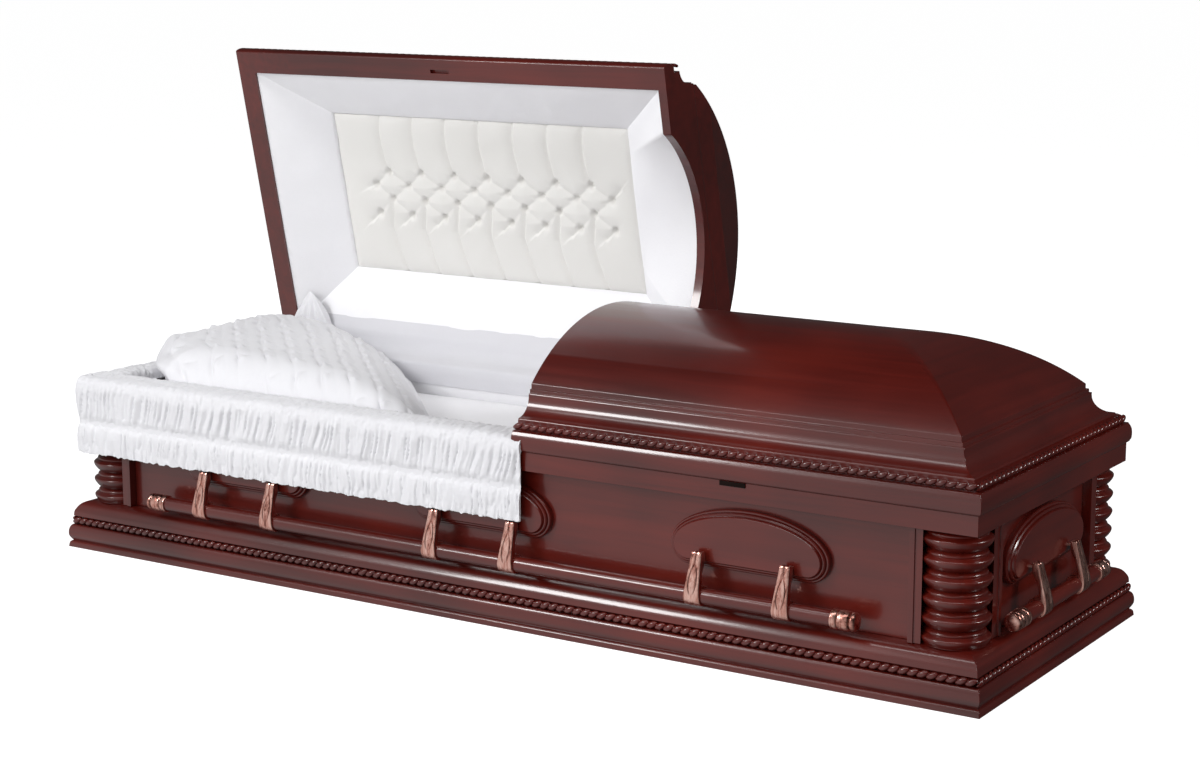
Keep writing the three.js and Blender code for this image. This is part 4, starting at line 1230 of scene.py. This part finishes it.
# Stitched columns: a thin seam, tucked at intervals, with a small puff beside each tuck
def quilting(d, t):
    cell = (d - pillow["firstColumn"] + 4 * clothNoise(t / 60, d / 50, 31)) / pillow["columnPitch"]
    offset = (cell - np.round(cell)) * pillow["columnPitch"]
    tuck = t / pillow["tuckPitch"] + np.round(cell) * 0.37 + 0.12 * clothNoise(t / 80, d / 26, 36)
    across = (tuck - np.round(tuck)) * pillow["tuckPitch"]
    seam = np.exp(-np.abs(offset) / pillow["seam"]) * (0.35 + 0.65 * np.exp(-(across / 17) ** 2))
    puff = np.exp(-((offset + 9) / 6) ** 2 - ((across - 4) / 9) ** 2)
    crossTuck = np.exp(-np.abs(across + 9) / 4 - np.abs(offset + 13) / 12) * 0.5
    quilt = pillow["pucker"] * puff - pillow["depth"] * np.maximum(seam, crossTuck)
    return quilt + pillow["crown"] * np.cos(math.pi * offset / pillow["columnPitch"])


def makePillow():
    start, stop = np.array(pillow["slant"], float)
    along = (stop - start) / np.linalg.norm(stop - start)
    away = np.array([along[1], -along[0]])
    x, y, edge = pillowPlan()
    d = (x - start[0]) * away[0] + (y - start[1]) * away[1]
    t = (x - start[0]) * along[0] + (y - start[1]) * along[1]
    top = pillow["edge"] + pillow["rise"] * (1 - np.exp(-np.abs(d) / pillow["swell"]))
    top += pillow["rearRise"] * smoothStep(y, -200, 250) * smoothStep(np.abs(d), 80, 300)
    # the front slopes; the other sides are steep
    front = smoothStep(-y, 120, 200) * smoothStep(x, -950, -840)
    fall = np.clip(edge / (pillow["round"] + (pillow["frontRound"] - pillow["round"]) * front), 0, 1)
    lip = pillow["low"] + pillow["lip"]
    surface = np.stack([x, y, lip + (top - lip) * np.sqrt(1 - (1 - fall) ** 2)], -1)
    normal = np.cross(np.gradient(surface, axis=1), np.gradient(surface, axis=0))
    normal /= np.linalg.norm(normal, axis=2)[:, :, None]
    normal *= np.sign(normal[:, :, 2:3] + 1e-9)
    relief = quilting(d, t) * np.clip(fall * 4, 0, 1)
    x, y, z = np.moveaxis(surface + normal * relief[:, :, None], -1, 0)
    ripple, size = pillow["ripple"]
    z = z + ripple * clothNoise(x / size, y / size, 33)
    # above the rail the head corners swell out over it
    cornerX, cornerY = pillow["headX"] + pillow["cornerCut"], pillow["halfY"] - pillow["cornerCut"]
    lobe = smoothStep(z, 350, 395) * pillow["overhang"] * smoothStep(cornerX - x, -60, 40)
    lobe = lobe * smoothStep(np.abs(y), cornerY - 60, pillow["halfY"] - 30)
    x, y = x - lobe, y + lobe * 0.5 * np.sign(y)
    piece = paddedGrid("quilted pillow", x, y, z, pillow["low"], crepe, shrink=0.985)
    settle(piece, "root", "white_crepe", "pillow")
    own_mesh(piece)


# Shirred skirt: a soft roll on the rail, irregular pleats, a gathered band at the waist, a frilled hem
skirt = {
    "section": [(84, 344), (84, 358), (78, 366.5), (66, 370.5), (48, 371), (30, 370.6), (12, 369), (1, 363),
                (-3.4, 352), (-3.8, 338), (-3, 322), (-2.6, 305), (-2.2, 290), (0.4, 278), (0.6, 272),
                (-2.4, 262), (-4.2, 248), (-4.6, 230), (-4.4, 216), (-4, 209)],
    "lining": 5, "steps": (880, 104), "backSteps": 7, "endX": 113, "rearY": 290, "corner": 30, "outset": 6,
    "headInset": 17, "pleat": 7.5, "frill": 6, "crinkle": 1.6, "waist": 1.6, "hem": 2.4,
}


# Places along the rim, as x, y, the way the skirt faces in degrees, and the distance run
def skirtPath(count):
    x, y, r = -reachX + skirt["outset"], -reachY + skirt["outset"], skirt["corner"]
    front, end, bend = skirt["endX"] - (x + r), skirt["rearY"] - (y + r), math.pi / 2 * r
    path = []
    for s in np.linspace(0, front + end + bend, count):
        if s < front:
            path.append((skirt["endX"] - s, y, -90, s))
        elif s < front + bend:
            a = (s - front) / r
            path.append((x + r - r * math.sin(a), y + r - r * math.cos(a), -90 - math.degrees(a), s))
        else:
            path.append((x, y + r + s - front - bend, -180, s))
    return path


# At the head end the skirt hangs closer to the wall
def headShift(inset, facing):
    return skirt["headInset"] * np.clip((60 - inset) / 40, 0, 1) * (-90 - facing) / 90


def skirtSection():
    line = np.array(smoothRun(skirt["section"], 10))
    lengths = np.concatenate([[0], np.cumsum(np.hypot(*np.diff(line, axis=0).T))])
    spots = np.linspace(0, lengths[-1], skirt["steps"][1])
    inset, z = (np.interp(spots, lengths, line[:, i]) for i in (0, 1))
    slope = np.stack([np.gradient(inset), np.gradient(z)], -1)
    slope /= np.linalg.norm(slope, axis=1)[:, None]
    outward = np.stack([slope[:, 1], -slope[:, 0]], -1)
    return spots, inset, z, outward * np.sign(-outward[-10, 0])


# How far the cloth stands out: pleats above the waist, a frill below it, fine crinkles in the bands
def skirtLift(s, v, z):
    face = np.clip((366 - z) / 12, 0, 1)
    waist = np.exp(-((z - 275) / 11) ** 2)
    upper = np.clip((z - 281) / 16, 0, 1) * np.clip((352 - z) / 14, 0.15, 1) * face
    lower = np.clip((270 - z) / 12, 0, 1)
    fold = lambda noise: np.sqrt(np.abs(noise)) - 0.6
    lean = s + (z - 320) * 0.2 + 6 * clothNoise(s / 60, v / 45, 41)
    pleats = fold(clothNoise(lean / 10, v / 130, 42)) + 0.3 * fold(clothNoise(lean / 5.2, v / 60, 43))
    frill = fold(clothNoise((s + 4 * clothNoise(s / 30, v / 30, 44)) / 7, v / 70, 45))
    crinkle = 0.55 * clothNoise(s / 4.4, v / 3.4, 46) + 1.1 * clothNoise(s / 5.2, v / 15, 48)
    band = np.clip(1 - face + waist + np.exp(-((z - 356) / 9) ** 2), 0, 1)
    lift = skirt["pleat"] * pleats * upper + skirt["frill"] * frill * lower
    return lift + skirt["crinkle"] * crinkle * (0.25 + 0.75 * band) - skirt["waist"] * waist


def makeSkirt():
    path = skirtPath(skirt["steps"][0])
    spots, inset, z, outward = skirtSection()
    s, v, level = np.array([p[3] for p in path])[:, None], spots[None, :], z[None, :]
    lift = skirtLift(s, v, level)
    hem = skirt["hem"] * clothNoise(s / 9, 0 * v, 47) * np.clip((214 - level) / 6, 0, 1)
    picks = np.linspace(0, len(z) - 1, skirt["backSteps"]).round().astype(int)[::-1]
    rings = []
    for (px, py, facing, _), out, drop in zip(path, lift, hem):
        # the front of the cloth from the roll to the hem, then its back up again
        away = np.concatenate([out, -np.full(len(picks), skirt["lining"])])
        place = np.concatenate([np.arange(len(z)), picks])
        reach = -(inset[place] + skirt["outset"]) - away * outward[place, 0] - headShift(inset[place], facing)
        height = z[place] + away * outward[place, 1] + np.concatenate([drop, np.zeros(len(picks))])
        a = math.radians(facing)
        rings.append(np.column_stack([px + math.cos(a) * reach, py + math.sin(a) * reach, height]))
    piece = loft("shirred skirt", rings, crepe, 80)
    settle(piece, "root", "white_crepe", "skirt")
    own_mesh(piece)


# Floor and light: a long soft box overhead, one at each side, a wide fill that leaves no highlight,
# and a room that is bright in front and to the left and dim behind and overhead
studio = {
    "floor": 300,
    "floorGlow": 0.97,
    "floorTone": "8c8c8e",
    "floorRoughness": 0.9,
    "aim": (0, 0, 0.3),
    "brightSide": (-0.57, -0.79, -0.23),
    # how far a direction faces the bright side, and its light
    "room": [(-0.2, 0.05), (0.3, 0.22), (0.92, 0.74)],
    "overheadDim": 0.85,
    "boxes": [
        # name, place, size, power, seen in reflections
        ("overhead box", (0.2, -1.7, 3.9), (5.2, 0.7), 50, True),
        ("left box", (-2.0, -3.0, 2.6), (0.9, 0.9), 62, True),
        ("right box", (4.3, 1.1, 2.7), (1.0, 1.0), 70, True),
        ("wide fill", (0.5, -4.4, 1.5), (4.5, 2.0), 92, False),
        ("end fill", (4.8, -0.6, 1.8), (2.0, 1.6), 26, False),
        ("rear top", (0.0, 0.6, 4.4), (3.0, 2.0), 6, False),
        ("rear fill", (-2.4, 4.2, 1.6), (3.0, 2.0), 70, False),
    ],
}


def makeStudio():
    mesh = bpy.data.meshes.new("floor")
    half = studio["floor"] / 2
    corners = [(-half, -half, 0), (half, -half, 0), (half, half, 0), (-half, half, 0)]
    mesh.from_pydata(corners, [], [(0, 1, 2, 3)])
    material, _, connect = newMaterial("pale floor")
    connect("Base Color", colour(studio["floorTone"]))
    connect("Emission Color", colour("ffffff"))
    connect("Emission Strength", studio["floorGlow"])
    connect("Roughness", studio["floorRoughness"])
    mesh.materials.append(material)
    floor = bpy.data.objects.new("floor", mesh)
    floor.visible_glossy = floor.visible_diffuse = False
    bpy.context.scene.collection.objects.link(floor)
    world = bpy.data.worlds.new("studio")
    world.use_nodes = True
    net = Net(world.node_tree)
    direction = net.node("ShaderNodeTexCoord", out="Generated")
    facing = net.node("ShaderNodeVectorMath", {"operation": "DOT_PRODUCT"},
                      {0: direction, 1: studio["brightSide"]}, out="Value")
    stops = [((place + 1) / 2, [light] * 3 + [1]) for place, light in studio["room"]]
    room = net.ramp(facing * 0.5 + 0.5, *stops)
    height = net.node("ShaderNodeSeparateXYZ", None, {0: direction}, out="Z")
    dim = 1 - height.maths("MAXIMUM", 0) * studio["overheadDim"]
    background = world.node_tree.nodes["Background"]
    world.node_tree.links.new(room.socket, background.inputs["Color"])
    world.node_tree.links.new(dim.socket, background.inputs["Strength"])
    bpy.context.scene.world = world
    for name, place, size, power, gloss in studio["boxes"]:
        data = bpy.data.lights.new(name, "AREA")
        data.shape, (data.size, data.size_y), data.energy = "RECTANGLE", size, power
        lamp = bpy.data.objects.new(name, data)
        lamp.location = place
        toward = Vector(studio["aim"]) - Vector(place)
        lamp.rotation_euler = toward.to_track_quat("-Z", "Y").to_euler()
        lamp.visible_glossy = gloss
        bpy.context.scene.collection.objects.link(lamp)
    bpy.context.scene.view_settings.view_transform = "Standard"


makeCamera()
makeBase()
makeColumns()
walls = {"front_panel": woodX, "rear_panel": woodX, "head_panel": woodY, "foot_panel": woodY}
for node, grain in {**walls, "top_rail": woodFrame, "floor_board": woodX}.items():
    easedCopy(node, grain)
print("box made")
makeWalls()
print("handles made")
makeLids()
print("lids made")
for thing, metalKind, width, slot in (("lid_hinge_strip", hingeMetal, 0.2, "hinge_metal"),
                                      ("catch", catchMetal, 0.3, "catch_metal")):
    for half in ("head", "foot"):
        easedCopy(f"{half}_{thing}", metalKind, width, slot)
headSplit = casket["splitX"] - lid["splitGap"]
makeTufted(*lidBorder("head lid border", headSplit, -1, openTurn, "head_lid", "head_lid_lining"))
makeFootPanel(*lidBorder("foot lid border", casket["splitX"], 1, None, "foot_lid", "foot_lid_lining"))
makeBed()
makeBodyLining()
makeApron()
makePeak()
makePillow()
makeSkirt()
print("soft goods made")
makeStudio()
